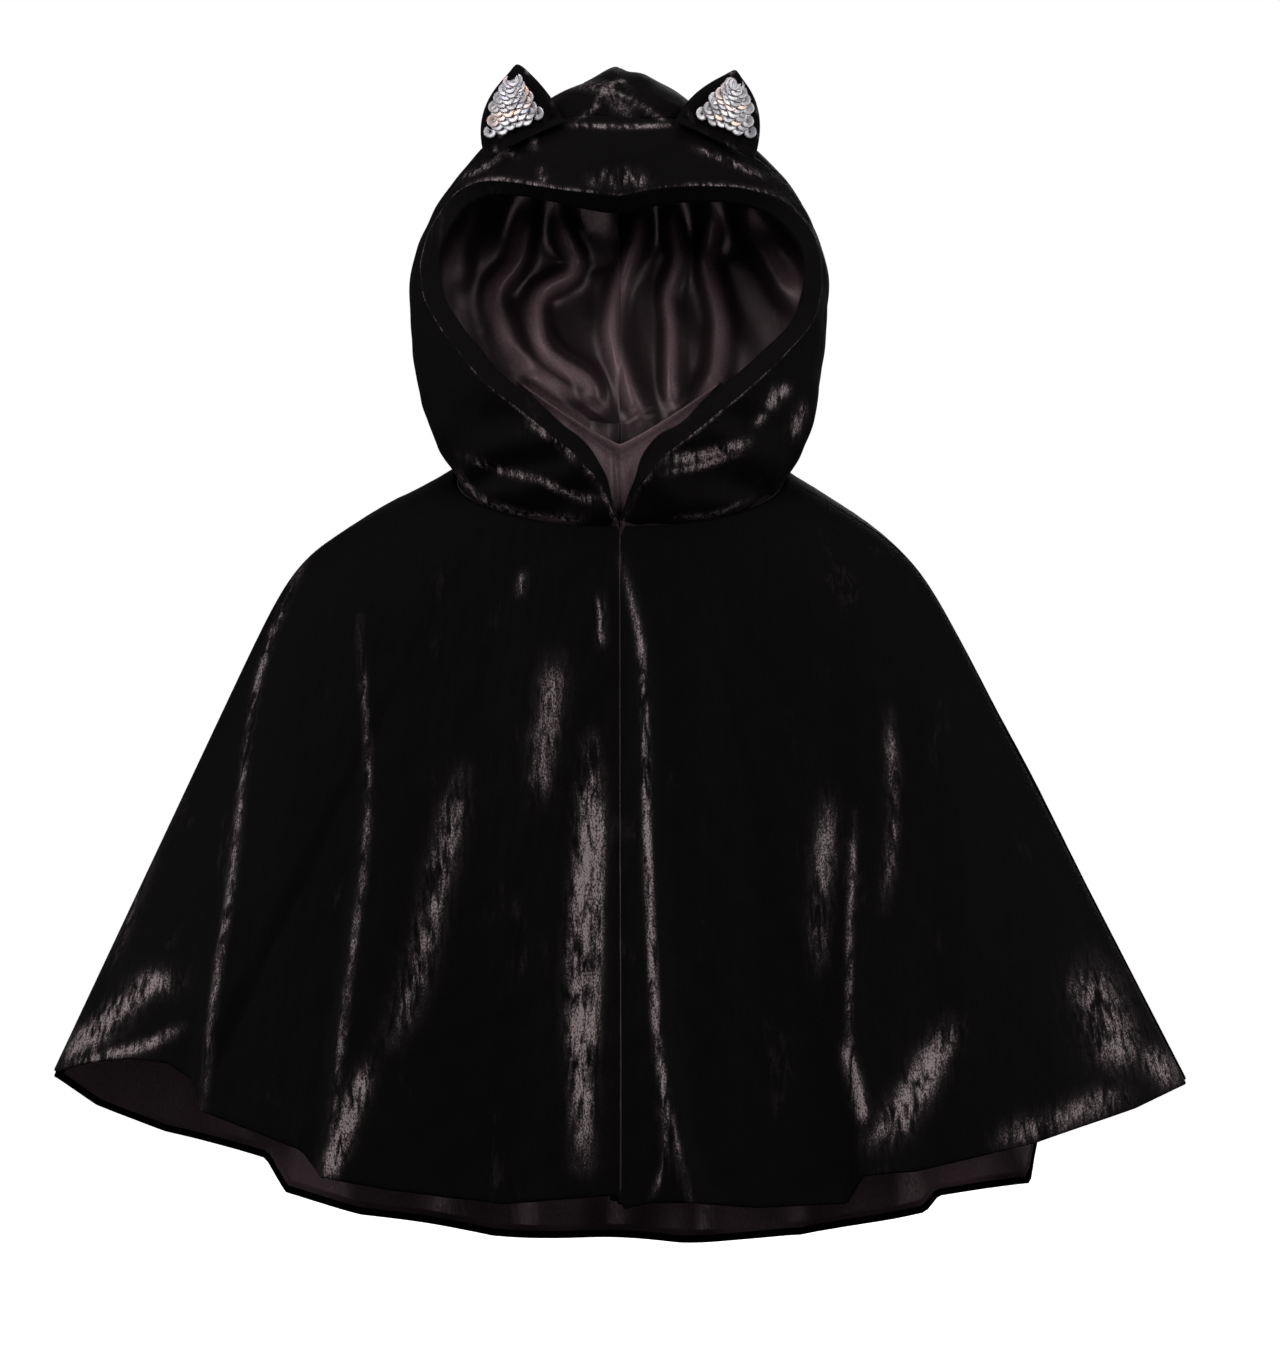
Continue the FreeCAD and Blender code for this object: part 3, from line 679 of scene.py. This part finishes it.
def hood_band():
    right, left = band_half("right", -1), band_half("left", 1)
    points = np.concatenate([tuck(right), tuck(left)[::-1][1:]])
    marks = painted_light_and_tone(points, HOOD_PAINTED_HIGHLIGHTS) * (points[..., 1] < 20)
    marks[:, :FACING_COLUMNS - 2] = 0.0
    # A thin painted highlight along the rim of the face opening
    rim = slice(FACING_COLUMNS - 1, FACING_COLUMNS + 1)
    marks[:, rim] = np.maximum(marks[:, rim], RIM_PAINTED_HIGHLIGHT)
    return thicken(grid_mesh("hood_band", points, HOOD_CENTRE, marks), VELVET)


def hood_crown(side, sign):
    seam = seam_curve(HOOD_ROWS)
    points = hood_half(crown_patch(seam, EAR_SEAM[0][0], CROWN_COLUMNS), sign, 0.0)
    inward = soften(grid_normals(points, HOOD_CENTRE), 2)
    v = np.linspace(0, 1, CROWN_COLUMNS)[None, :, None]
    w = np.linspace(0, 1, HOOD_ROWS)[:, None, None]
    dip = SEAM_DIP * np.exp(-((v * CROWN_WIDTH / SEAM_REACH) ** 2))
    dip = dip + CENTRE_DIP * np.exp(-(((1 - w) * CROWN_LENGTH / CENTRE_REACH) ** 2))
    points = points - inward * dip
    # Painted highlights from the list on the crown's front, plus random paler patches of tone
    marks = painted_light_and_tone(points, HOOD_PAINTED_HIGHLIGHTS) * (points[..., 1] < 10)
    marks = marks + 0.4 * smooth(waves(points[..., 0] + points[..., 1], points[..., 2], 36, 40, 3) - 0.5)
    marks = np.concatenate([marks[:1], marks[:1], marks])
    return thicken(grid_mesh(f"hood_crown_velvet_{side}", tuck(points), HOOD_CENTRE, marks), VELVET)


def satin_relief(p):
    """Ridges of satin that hang inside the hood; they stand inward, so they count as depth."""
    x, z = seen(p)
    y = p[..., 1]
    inside = smooth((y + 14) / 30.0)
    out = -0.8 * waves(x + y, z, 41, 30, 3)
    for path, width, height in SATIN_RIDGES:
        out = out - height * inside * near(x, z, path, width)
    for path, width, height in SATIN_CREASES:
        out = out + height * inside * near(x, z, path, width)
    return out + 1.6 * inside * np.exp(-((x / 2.5) ** 2)) * smooth((z - 34.0) / 20.0)


def painted_crest_light(p):
    """Painted light: 1 on the crests of the satin's ridges as a painted highlight, 0 between them as painted
    shade, and fading out towards the top of the opening as a painted shadow under the rim.
    """
    x, z = seen(p)
    best = np.zeros_like(x)
    for path, width, height in SATIN_RIDGES:
        best = np.maximum(best, near(x, z, path, width * 0.8) * height / 9)
    return best * smooth((p[..., 1] + 14) / 30.0) * smooth((182.0 - z) / 30.0)


def from_edge(patch, start, count):
    """The patch again with even columns, from a distance behind its first one to its last."""
    turn, r = patch[..., 0], patch[..., 1]
    world = hood_base(turn, r)
    steps = np.linalg.norm(np.diff(world, axis=1), axis=-1)
    made = []
    for line, step in zip(plan(turn, r), steps):
        run = np.concatenate([[0], np.cumsum(step)])
        at = np.linspace(min(start, run[-1] * 0.4), run[-1], count)
        x, y = (np.interp(at, run, line[:, i]) for i in range(2))
        made.append(np.stack([np.degrees(np.arctan2(x, y)), np.hypot(x, y)], -1))
    return np.stack(made)


def hood_satin(side, sign):
    patch = crown_patch(EDGES[side], 1.0, SATIN_COLUMNS)
    patch = from_edge(patch, ROLL_STRIP - 2.0, SATIN_COLUMNS)
    points = hood_half(patch, sign, SATIN_DEPTH, satin_relief)
    facing = band_half(side, sign)
    seam = facing[:, 0] + unit(facing[:, 1] - facing[:, 0]) * 1.5
    start = [lerp(seam, points[:, 0], share) for share in (0.0, 0.3, 0.65)]
    points = np.concatenate([np.stack(start, 1), points], 1)
    points = tuck(points, SATIN_TUCK_IN, SATIN_TUCK, np.array([0.0, 0.0, 1.0]))
    # The hood lining's colour carries the painted crest highlights and painted shade
    return thicken(grid_mesh(f"hood_satin_{side}", points, HOOD_CENTRE, painted_crest_light(points)), SATIN)


def satin_fold():
    """The satin that shows in the foot of the face opening: two wedges that meet in a tongue."""
    aside, down = np.meshgrid(np.linspace(-1, 1, 90), np.linspace(-0.3, 1, 70), indexing="ij")
    front, behind = np.clip(down, 0, 1), np.maximum(-down, 0)
    x = aside * lerp(66.0, 2.6, front**0.8) + 1.5 * np.sin(3 * front)
    top = 19.0 + 41.0 * np.abs(aside) ** 1.15
    z = lerp(top, -29.0, front) - 22 * behind**2
    on = find_on_hood(np.abs(x), np.clip(z, -28.0, 150.0))
    y = hood_base(on[..., 0], on[..., 1])[..., 1] + lerp(18.0, 5.0, front) + 75 * behind
    roll = np.exp(-((front / 0.12) ** 2)) * 3.0
    crease = 2.4 * np.exp(-(((x + 3 - 3 * front) / 2.4) ** 2)) * smooth(front * 3)
    y = y - roll * (1 - behind * 3) + crease + 0.6 * waves(x, z, 45, 16, 3)
    # Painted highlight: the tongue is painted paler towards its upper edges, and a little to the wearer's
    # left of its middle
    mask = lerp(0.75, 0.45, front) * (0.7 + 0.3 * np.exp(-(((aside - 0.15) / 0.4) ** 2)))
    return thicken(grid_mesh("hood_satin_fold", np.stack([x, y, z], -1), HOOD_CENTRE, mask), SATIN)


# ---------------------------------------------------------------- ears

def ear_frame(sign):
    outer, inner = EAR_OUTER * [sign, 1, 1], EAR_INNER * [sign, 1, 1]
    along = (inner - outer) / np.linalg.norm(inner - outer)
    front = np.array([0.0, -1.0, 0.0])
    front = front - along * (front @ along)
    front = front / np.linalg.norm(front)
    up = np.cross(front, along)
    up = up if up[2] > 0 else -up
    return outer, along, front, up, np.linalg.norm(inner - outer)


def ear_flat(sign, p, q, length):
    """Place in the ear's own plane: p from the outer edge to the inner one, q from the base to the tip."""
    tip = np.array([EAR_TIP_SHARE[sign] * length, EAR_TIP_HEIGHT])

    def bow(start, bend):
        t = q[..., None] * EAR_REACH
        return (1 - t) ** 2 * np.array(start) + 2 * t * (1 - t) * np.array(bend) + t**2 * tip

    outer_edge = bow((0.0, 0.0), (0.10 * length, 33.0))
    inner_edge = bow((length, 0.0), (0.99 * length, 20.0))
    flat = lerp(outer_edge, inner_edge, p[..., None])
    cap = EAR_CAP * 4 * p * (1 - p) * smooth((q - 0.75) / 0.25)
    return flat + np.stack([np.zeros_like(cap), cap], -1)


def ear_foot(sign):
    """The middle of the ear's base."""
    return (EAR_OUTER + EAR_INNER) / 2 * [sign, 1, 1]


def ear_points(sign, p, q, height):
    outer, along, front, up, length = ear_frame(sign)
    flat = ear_flat(sign, p, q, length)
    return outer + along * flat[..., :1] + up * flat[..., 1:] + front * height[..., None]


def ear_dome(p, q, rise):
    return rise * np.sqrt(np.clip(16 * p * (1 - p) * q * (1 - q), 0, 1)) ** 0.8


def ear_cover(side, sign, facing):
    p, q = np.meshgrid(np.linspace(0, 1, 44), np.linspace(-0.10, 1, 50), indexing="ij")
    inside = np.clip(q, 0.0, 1.0)
    dome = ear_dome(p, np.clip(q * 0.9 + 0.1, 0, 1), EAR_DOME[facing])
    if facing > 0:
        dome = dome - EAR_HOLLOW * smooth(1.2 - 2.6 * np.hypot((p - 0.5), (inside - 0.42) * 0.9))
    seam = 0.5 * np.sin(p * 40) * np.exp(-((q - 0.02) / 0.05) ** 2)
    points = ear_points(sign, p, inside, facing * (dome + seam + 0.35))
    _, _, _, up, _ = ear_frame(sign)
    below = np.minimum(q, 0)[..., None]
    points = points + below * up * EAR_FOOT_DROP + np.array([0, 5.0, 0]) * below * 10
    marks = 0.6 * smooth(waves(points[..., 0], points[..., 2], 51, 14, 1) - 0.4)
    name = f"ear_{'front' if facing > 0 else 'back'}_velvet_{side}"
    behind = ear_foot(sign) + np.array([0, facing * 59.0, 15])
    return thicken(grid_mesh(name, points, behind, marks), EAR_VELVET)


def patch_half(q):
    """Half the width of the sequin patch, as a share of the ear's."""
    return PATCH_WIDTH * np.clip(1 - (np.maximum(q - PATCH_RISES[0], 0) / 0.76) ** 1.6, 0.12, 1) ** 0.8


def patch_height(p, q):
    return ear_dome(p, np.clip(q * 0.9 + 0.1, 0, 1), EAR_DOME[1]) - PATCH_SINK


def in_patch(p, q):
    """Whether a place on the ear is within the rounded sequin patch."""
    return (np.abs(p - PATCH_MIDDLE) < patch_half(q)) & (q > PATCH_RISES[0]) & (q < PATCH_RISES[1])


def ear_net(side, sign):
    s, t = np.meshgrid(np.linspace(-1, 1, 26), np.linspace(*PATCH_RISES, 26), indexing="ij")
    p = PATCH_MIDDLE + s * patch_half(t)
    points = ear_points(sign, p, t, patch_height(p, t) - NET_SINK)
    centre = EAR_OUTER * [sign, 1, 1] + np.array([0, 60.0, 0])
    return thicken(grid_mesh(f"ear_net_{side}", points, centre), NET_CLOTH)


def add_sequin(mesh, centre, normal, tone, layer):
    """Adds one cupped sequin with a hole in its middle to a bmesh."""
    normal = normal / np.linalg.norm(normal)
    side = np.cross(normal, [0.0, 0.0, 1.0])
    side = side / np.linalg.norm(side)
    other = np.cross(normal, side)
    loops = []
    for reach, lift in SEQUIN_RINGS:
        loop = []
        for k in range(SEQUIN_SIDES):
            turn = math.tau * k / SEQUIN_SIDES
            spot = centre + (side * math.cos(turn) + other * math.sin(turn)) * SEQUIN_RADIUS * reach
            vert = mesh.verts.new((spot + normal * SEQUIN_CUP * lift) * MM)
            vert[layer] = tone
            loop.append(vert)
        loops.append(loop)
    for one, two in zip(loops, loops[1:] + loops[:1]):
        for k in range(SEQUIN_SIDES):
            after = (k + 1) % SEQUIN_SIDES
            mesh.faces.new((one[k], one[after], two[after], two[k]))


def ear_sequins(side, sign):
    """Overlapping sequins in arched rows across the patch, with seeded tilt and tone."""
    rng = np.random.default_rng(SEQUIN_SEED + sign)
    mesh = bmesh.new()
    layer = mesh.verts.layers.float.new("tone")
    _, along, front, up, _ = ear_frame(sign)
    for row in range(SEQUIN_ROWS):
        q = FIRST_ROW - ROW_STEP * row
        for k in range(-5, 6):
            p = PATCH_MIDDLE + (k + 0.5 * (row % 2)) * COLUMN_STEP
            at = np.array(p), np.array(q - ROW_ARCH * (p - PATCH_MIDDLE) ** 2)
            if not in_patch(*at):
                continue
            spot = ear_points(sign, *at, patch_height(*at))
            tilt = up * rng.uniform(0.16, 0.26)
            tilt = tilt + along * ((p - PATCH_MIDDLE) * -0.5 + rng.uniform(-0.07, 0.07))
            spot = spot + front * (0.6 + 0.10 * row + rng.uniform(0, 0.3))
            add_sequin(mesh, spot, front + tilt, rng.uniform(), layer)
    bmesh.ops.recalc_face_normals(mesh, faces=mesh.faces)
    data = bpy.data.meshes.new(f"ear_sequins_{side}_mesh")
    mesh.to_mesh(data)
    mesh.free()
    data.polygons.foreach_set("use_smooth", [True] * len(data.polygons))
    return place(f"sequins_{side}", data)


def ear_wadding(side, sign):
    p, q = np.meshgrid(np.linspace(0.08, 0.92, 24), np.linspace(0.04, 0.9, 24), indexing="ij")
    lumps = 0.3 * waves(p * 50, q * 50, 61, 12)
    rise = ear_dome((p - 0.08) / 0.84, (q - 0.04) / 0.86, WADDING_DOME) + 0.05
    front = ear_points(sign, p, q, rise + lumps * (rise > 0.5))
    back = ear_points(sign, p, q, -rise + lumps * (rise > 0.5))
    both = np.concatenate([front, back[::-1]])
    return weld(grid_mesh(f"wadding_{side}", both, front.mean((0, 1))), WADDING_WELD)


# ---------------------------------------------------------------- small parts

def neck_tape():
    angle, down = np.meshgrid(np.linspace(*TAPE_TURNS, 260), np.linspace(0, 1, 8), indexing="ij")
    a = np.radians(angle)
    base = neck_ring(angle) + np.stack([2 * np.sin(a), -np.cos(a), -TAPE_WIDTH * down - TAPE_DROP], -1)
    inner = base * [0.972, 0.94, 1] + np.array([0, 0, -0.4])
    ribs = 0.12 * np.sin(angle * 8)[..., None] * np.stack([np.sin(a), -np.cos(a), np.zeros_like(a)], -1)
    return thicken(grid_mesh("stay_tape", inner + ribs, np.array([0, 0, -5.0])), TAPE_CLOTH)


def care_label():
    angles, shares = np.linspace(*LABEL_TURNS, 20), np.linspace(*LABEL_SHARES, 30)
    points, _ = cape_panel(angles, shares, False, LABEL_DEPTH)
    return thicken(grid_mesh("label", points, CAPE_CENTRE), LABEL_CLOTH)


# ---------------------------------------------------------------- materials

class Shader:
    """A material's node tree, with short calls to add nodes."""

    def __init__(self, name):
        self.material = bpy.data.materials.new(name)
        self.material.use_nodes = True
        self.nodes = self.material.node_tree.nodes
        self.links = self.material.node_tree.links
        self.bsdf = self.nodes["Principled BSDF"]
        self.place = self.nodes.new("ShaderNodeTexCoord").outputs["Object"]

    def set(self, **values):
        for key, value in values.items():
            self.bsdf.inputs[key.replace("_", " ")].default_value = value

    def link(self, source, key):
        self.links.new(source, self.bsdf.inputs[key])

    def feed(self, socket, value):
        if isinstance(value, bpy.types.NodeSocket):
            self.links.new(value, socket)
        else:
            socket.default_value = value

    def node(self, kind, **inputs):
        made = self.nodes.new("ShaderNode" + kind)
        for key, value in inputs.items():
            self.feed(made.inputs[key], value)
        return made

    def attribute(self, name):
        made = self.node("Attribute")
        made.attribute_name = name
        return made.outputs["Fac"]

    def noise(self, scale, stretch=(1, 1, 1), detail=2.0, distortion=0.0):
        at = self.node("Mapping", Vector=self.place, Scale=stretch).outputs["Vector"]
        made = self.node("TexNoise", Vector=at, Scale=scale, Detail=detail, Distortion=distortion)
        return made.outputs["Fac"]

    def math(self, how, a, b):
        made = self.node("Math")
        made.operation = how
        for socket, value in zip(made.inputs, (a, b)):
            self.feed(socket, value)
        return made.outputs[0]

    def ramp(self, value, low, high, low_at=0.0, high_at=1.0):
        made = self.node("MapRange")
        made.interpolation_type = "SMOOTHSTEP"
        for socket, number in zip(made.inputs, (value, low_at, high_at, low, high)):
            self.feed(socket, number)
        return made.outputs[0]

    def colours(self, value, *stops):
        made = self.node("ValToRGB", Fac=value)
        ramp = made.color_ramp
        while len(ramp.elements) < len(stops):
            ramp.elements.new(1.0)
        for element, (at, colour) in zip(ramp.elements, stops):
            element.position = at
            element.color = (*colour, 1.0)
        return made.outputs["Color"]

    def bump(self, height, distance, strength, under=None):
        made = self.node("Bump", Distance=distance, Strength=strength, Height=height)
        if under is not None:
            self.links.new(under, made.inputs["Normal"])
        return made.outputs["Normal"]


def velvet_material(name, base, gain):
    """Crushed velvet: black pile, with painted grey-plum highlights where the attribute of painted light is
    high, and random paler patches.
    """
    def glint(*colour):
        return tuple(part * gain for part in colour)

    s = Shader(name)
    pile = s.noise(1300, (1, 1, 0.5), 3)
    strands = s.noise(300, (1, 1, 0.14), 4, 0.6)
    patches = s.noise(30, (1, 1, 0.5), 3, 0.8)
    mark = s.attribute("painted_light_and_tone")
    torn = s.math("ADD", s.math("MULTIPLY", strands, 0.65), s.math("MULTIPLY", patches, 0.45))
    ragged = s.math("MULTIPLY", mark, s.ramp(torn, 0.0, 1.5, 0.40, 0.70))
    loose = s.math("MULTIPLY", s.ramp(patches, 0.0, 0.16, 0.58, 0.80), s.ramp(strands, 0.0, 1.0, 0.45, 0.7))
    painted_glint_and_patches = s.math("ADD", ragged, loose)
    grain = s.math("MULTIPLY", painted_glint_and_patches, s.ramp(pile, 0.25, 1.65, 0.3, 0.7))
    # Base colour: black, rising through painted glint colours; the palest is a painted highlight
    s.link(s.colours(grain, (0.0, base), (0.22, glint(0.020, 0.0155, 0.0165)),
                     (0.55, glint(0.120, 0.095, 0.098)), (1.0, glint(0.34, 0.275, 0.28))), "Base Color")
    s.link(s.ramp(painted_glint_and_patches, 0.66, 0.40), "Roughness")
    fibre = s.bump(pile, 0.00045, 0.7)
    s.link(s.bump(strands, 0.0009, 0.5, fibre), "Normal")
    s.set(Specular_IOR_Level=0.05, Sheen_Weight=0.04, Sheen_Roughness=0.28, Sheen_Tint=(0.75, 0.66, 0.68, 1))
    return s.material


def satin_material():
    s = Shader("satin_plum_black")
    weave = s.noise(1500, (1, 1, 0.3), 2)
    slubs = s.noise(60, (1, 1, 0.06), 2)
    cloud = s.noise(14, (1, 1, 0.6), 2, 0.6)
    # Tone: random clouds and slubs, plus the attribute's painted light; the palest colour is a painted
    # highlight on the satin
    tone = s.math("ADD", s.math("MULTIPLY", cloud, 0.16), s.math("MULTIPLY", slubs, 0.10))
    tone = s.math("ADD", tone, s.math("MULTIPLY", s.attribute("painted_light_and_tone"), s.ramp(weave, 0.6, 0.9, 0.3, 0.7)))
    s.link(s.colours(tone, (0.10, (0.006, 0.0036, 0.0042)), (0.35, (0.026, 0.0165, 0.0185)),
                     (0.9, (0.165, 0.106, 0.119))), "Base Color")
    s.link(s.ramp(weave, 0.34, 0.48), "Roughness")
    fine = s.bump(weave, 0.00012, 0.35)
    s.link(s.bump(s.noise(110, (1, 1, 0.5), 2, 0.8), 0.0007, 0.35, fine), "Normal")
    s.set(Specular_IOR_Level=0.46, Specular_Tint=(0.95, 0.74, 0.78, 1), Anisotropic=0.45, Sheen_Weight=0.08,
          Sheen_Roughness=0.4, Sheen_Tint=(0.8, 0.6, 0.65, 1))
    return s.material


def sequin_material():
    """Clear iridescent sequins: mostly silver, some peach, blue and green."""
    s = Shader("sequin_iridescent")
    tone = s.attribute("tone")
    film = s.noise(240, (1, 1, 1), 2, 0.5)
    mixed = s.math("ADD", s.math("MULTIPLY", tone, 0.86), s.math("MULTIPLY", film, 0.14))
    s.link(s.colours(mixed, (0.0, (0.30, 0.29, 0.33)), (0.30, (0.54, 0.51, 0.53)), (0.50, (0.34, 0.33, 0.36)),
                     (0.70, (0.78, 0.75, 0.76)), (0.84, (0.82, 0.53, 0.41)), (0.93, (0.42, 0.46, 0.60))),
           "Base Color")
    s.link(s.ramp(film, 0.22, 0.40), "Roughness")
    s.link(s.bump(s.noise(520, (1, 1, 1), 1), 0.0001, 0.15), "Normal")
    s.set(Metallic=0.30, Specular_IOR_Level=0.6, Coat_Weight=0.35, Coat_Roughness=0.18)
    return s.material


def plain_material(name, colours, roughness, grain, depth, stretch=(1, 1, 1), metallic=0.0):
    """A cloth or metal with a fine grain of its own colour."""
    s = Shader(name)
    fine = s.noise(grain, stretch, 3)
    s.link(s.colours(fine, (0.35, colours[0]), (0.65, colours[1])), "Base Color")
    s.link(s.ramp(fine, roughness[0], roughness[1], 0.3, 0.7), "Roughness")
    s.link(s.bump(fine, depth, 0.5), "Normal")
    s.set(Metallic=metallic)
    return s.material


def dress(thing, material):
    thing.data.materials.clear()
    thing.data.materials.append(material)


VELVET_BLACK = velvet_material("velvet_black", (0.0022, 0.0016, 0.0019), 1.0)
HOOD_VELVET = velvet_material("hood_velvet_black", (0.0030, 0.0022, 0.0026), 0.9)
SATIN_PLUM = satin_material()
SEQUIN = sequin_material()
TAPE = plain_material("tape_black", ((0.010, 0.009, 0.010), (0.022, 0.020, 0.021)), (0.7, 0.9), 900, 0.0003)
LABEL = plain_material("label_white", ((0.66, 0.65, 0.63), (0.78, 0.77, 0.75)), (0.45, 0.6), 1200, 0.0001)
WADDING = plain_material("wadding_grey", ((0.55, 0.54, 0.53), (0.72, 0.71, 0.70)), (0.85, 0.98), 180, 0.0012)
NET = plain_material("net_silver", ((0.22, 0.22, 0.23), (0.42, 0.42, 0.43)), (0.5, 0.7), 1400, 0.0003)
WIRE = plain_material("hook_steel", ((0.05, 0.05, 0.055), (0.09, 0.09, 0.095)), (0.28, 0.42), 700, 0.00003,
                      (1, 1, 0.1), 1.0)


# ---------------------------------------------------------------- assembly

def metres(point):
    return tuple(float(v) * MM for v in point)


def joined(thing, material, nodes, slot, bodies=None, start=None, end=None, body=None):
    """Gives a piece its material and hides the CAD nodes it stands for; a piece with one body is attached to
    it, and a piece between two bodies has its place baked into its points.
    """
    dress(thing, material)
    if nodes:
        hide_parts(*nodes)
    if bodies:
        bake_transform(thing)
    else:
        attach(thing, body)
    return thing


def bend(bodies, hinge, way, reach):
    """The two bodies of a piece that bends between them, and where its bend starts and ends."""
    return dict(bodies=bodies, start=hinge + way * reach[0], end=hinge + way * reach[1])


FRONT_HINGE = np.array([0.0, -NECK_HALF_DEPTH, -NECK_HALF_RISE])
for side, sign in (("left", 1), ("right", -1)):
    swing = np.array([-0.915 * sign, 0.0, -0.403])
    front_bend = bend(("cape", f"front_{side}"), FRONT_HINGE, swing, FRONT_BEND)
    velvet = joined(cape_front(side, sign), VELVET_BLACK,
                    (f"velvet_front_side_{side}", f"velvet_front_flap_{side}"), "velvet", **front_bend)
    satin = joined(front_lining(side, sign), SATIN_PLUM,
                   (f"lining_front_side_{side}", f"lining_front_flap_{side}"), "satin_lining", **front_bend)

hood_bend = bend(("cape", "hood"), 0.0, HOOD_UP, HOOD_BEND)
for side, sign in (("left", 1), ("right", -1)):
    crown = joined(hood_crown(side, sign), HOOD_VELVET, (f"hood_crown_{side}",), "hood_velvet", **hood_bend)
    lining = joined(hood_satin(side, sign), SATIN_PLUM, (f"hood_lining_{side}",), "satin_lining", **hood_bend)
tongue = joined(satin_fold(), SATIN_PLUM, (), "satin_lining", **hood_bend)
band = joined(hood_band(), HOOD_VELVET, ("hood_front_band",), "hood_velvet", **hood_bend)

back = joined(cape_back(), VELVET_BLACK, ("velvet_back",), "velvet", body="cape")
back_satin = joined(back_lining(), SATIN_PLUM, ("lining_back",), "satin_lining", body="cape")
tape = joined(neck_tape(), TAPE, ("neck_stay_tape",), "tape", body="cape")
label = joined(care_label(), LABEL, ("care_label",), "label", body="cape")
for node in ("closure_hook", "closure_eye"):
    dress(frame["nodes"][node], WIRE)

for side, sign in (("left", 1), ("right", -1)):
    body = f"ear_{side}"
    _, _, _, ear_up, _ = ear_frame(sign)
    ear_bend = bend(("hood", body), ear_foot(sign), ear_up, EAR_BEND)
    for facing, face in ((1, "front"), (-1, "back")):
        cover = joined(ear_cover(side, sign, facing), HOOD_VELVET, (f"ear_{face}_cover_{side}",),
                       "hood_velvet", **ear_bend)
    pad = joined(ear_wadding(side, sign), WADDING, (f"ear_wadding_{side}",), "wadding", body=body)
    net = joined(ear_net(side, sign), NET, (f"ear_sequin_patch_{side}",), "sequin_net", body=body)
    joined(ear_sequins(side, sign), SEQUIN, (f"ear_sequins_{side}",), "sequin", body=body)


# ---------------------------------------------------------------- stage, light and camera

def soft_light(name, place_at, width, height, watts):
    data = bpy.data.lights.new(name, "AREA")
    data.shape = "RECTANGLE"
    data.size, data.size_y = width, height
    data.energy = watts
    lamp = place(name, data)
    lamp.location = place_at
    direction = Vector(LIT_POINT) - lamp.location
    lamp.rotation_euler = direction.to_track_quat("-Z", "Y").to_euler()


def floor():
    mesh = bpy.data.meshes.new("floor")
    corners = [(x * FLOOR_REACH, y * FLOOR_REACH, FLOOR_Z) for x, y in ((-1, -1), (1, -1), (1, 1), (-1, 1))]
    mesh.from_pydata(corners, [], [(0, 1, 2, 3)])
    sheet = place("floor", mesh)
    s = Shader("floor_white")
    s.set(Base_Color=(0.9, 0.9, 0.9, 1), Roughness=0.9, Emission_Color=(1, 1, 1, 1), Emission_Strength=0.95)
    sheet.data.materials.append(s.material)
    sheet.visible_diffuse = False
    sheet.visible_glossy = False


def world():
    made = bpy.data.worlds.new("studio")
    bpy.context.scene.world = made
    made.use_nodes = True
    nodes, links = made.node_tree.nodes, made.node_tree.links
    path = nodes.new("ShaderNodeLightPath")
    mix = nodes.new("ShaderNodeMixShader")
    dim, bright = nodes["Background"], nodes.new("ShaderNodeBackground")
    dim.inputs["Color"].default_value = (0.9, 0.92, 0.95, 1)
    dim.inputs["Strength"].default_value = 0.05
    bright.inputs["Color"].default_value = (1, 1, 1, 1)
    links.new(path.outputs["Is Camera Ray"], mix.inputs["Fac"])
    links.new(dim.outputs[0], mix.inputs[1])
    links.new(bright.outputs[0], mix.inputs[2])
    links.new(mix.outputs[0], nodes["World Output"].inputs["Surface"])


floor()
world()
for light in LIGHTS:
    soft_light(*light)

camera_data = bpy.data.cameras.new("camera")
camera = place("camera", camera_data)
camera_data.sensor_width = SENSOR_WIDTH
camera_data.lens = camera_data.sensor_width * VIEW_DISTANCE / VIEW_HEIGHT
camera_data.clip_end = CLIP_END
camera.location = metres(VIEW_CENTRE - np.array([0.0, VIEW_DISTANCE, 0.0]))
camera.rotation_euler = (math.pi / 2, 0, 0)
bpy.context.scene.camera = camera
bpy.context.scene.view_settings.view_transform = "Standard"
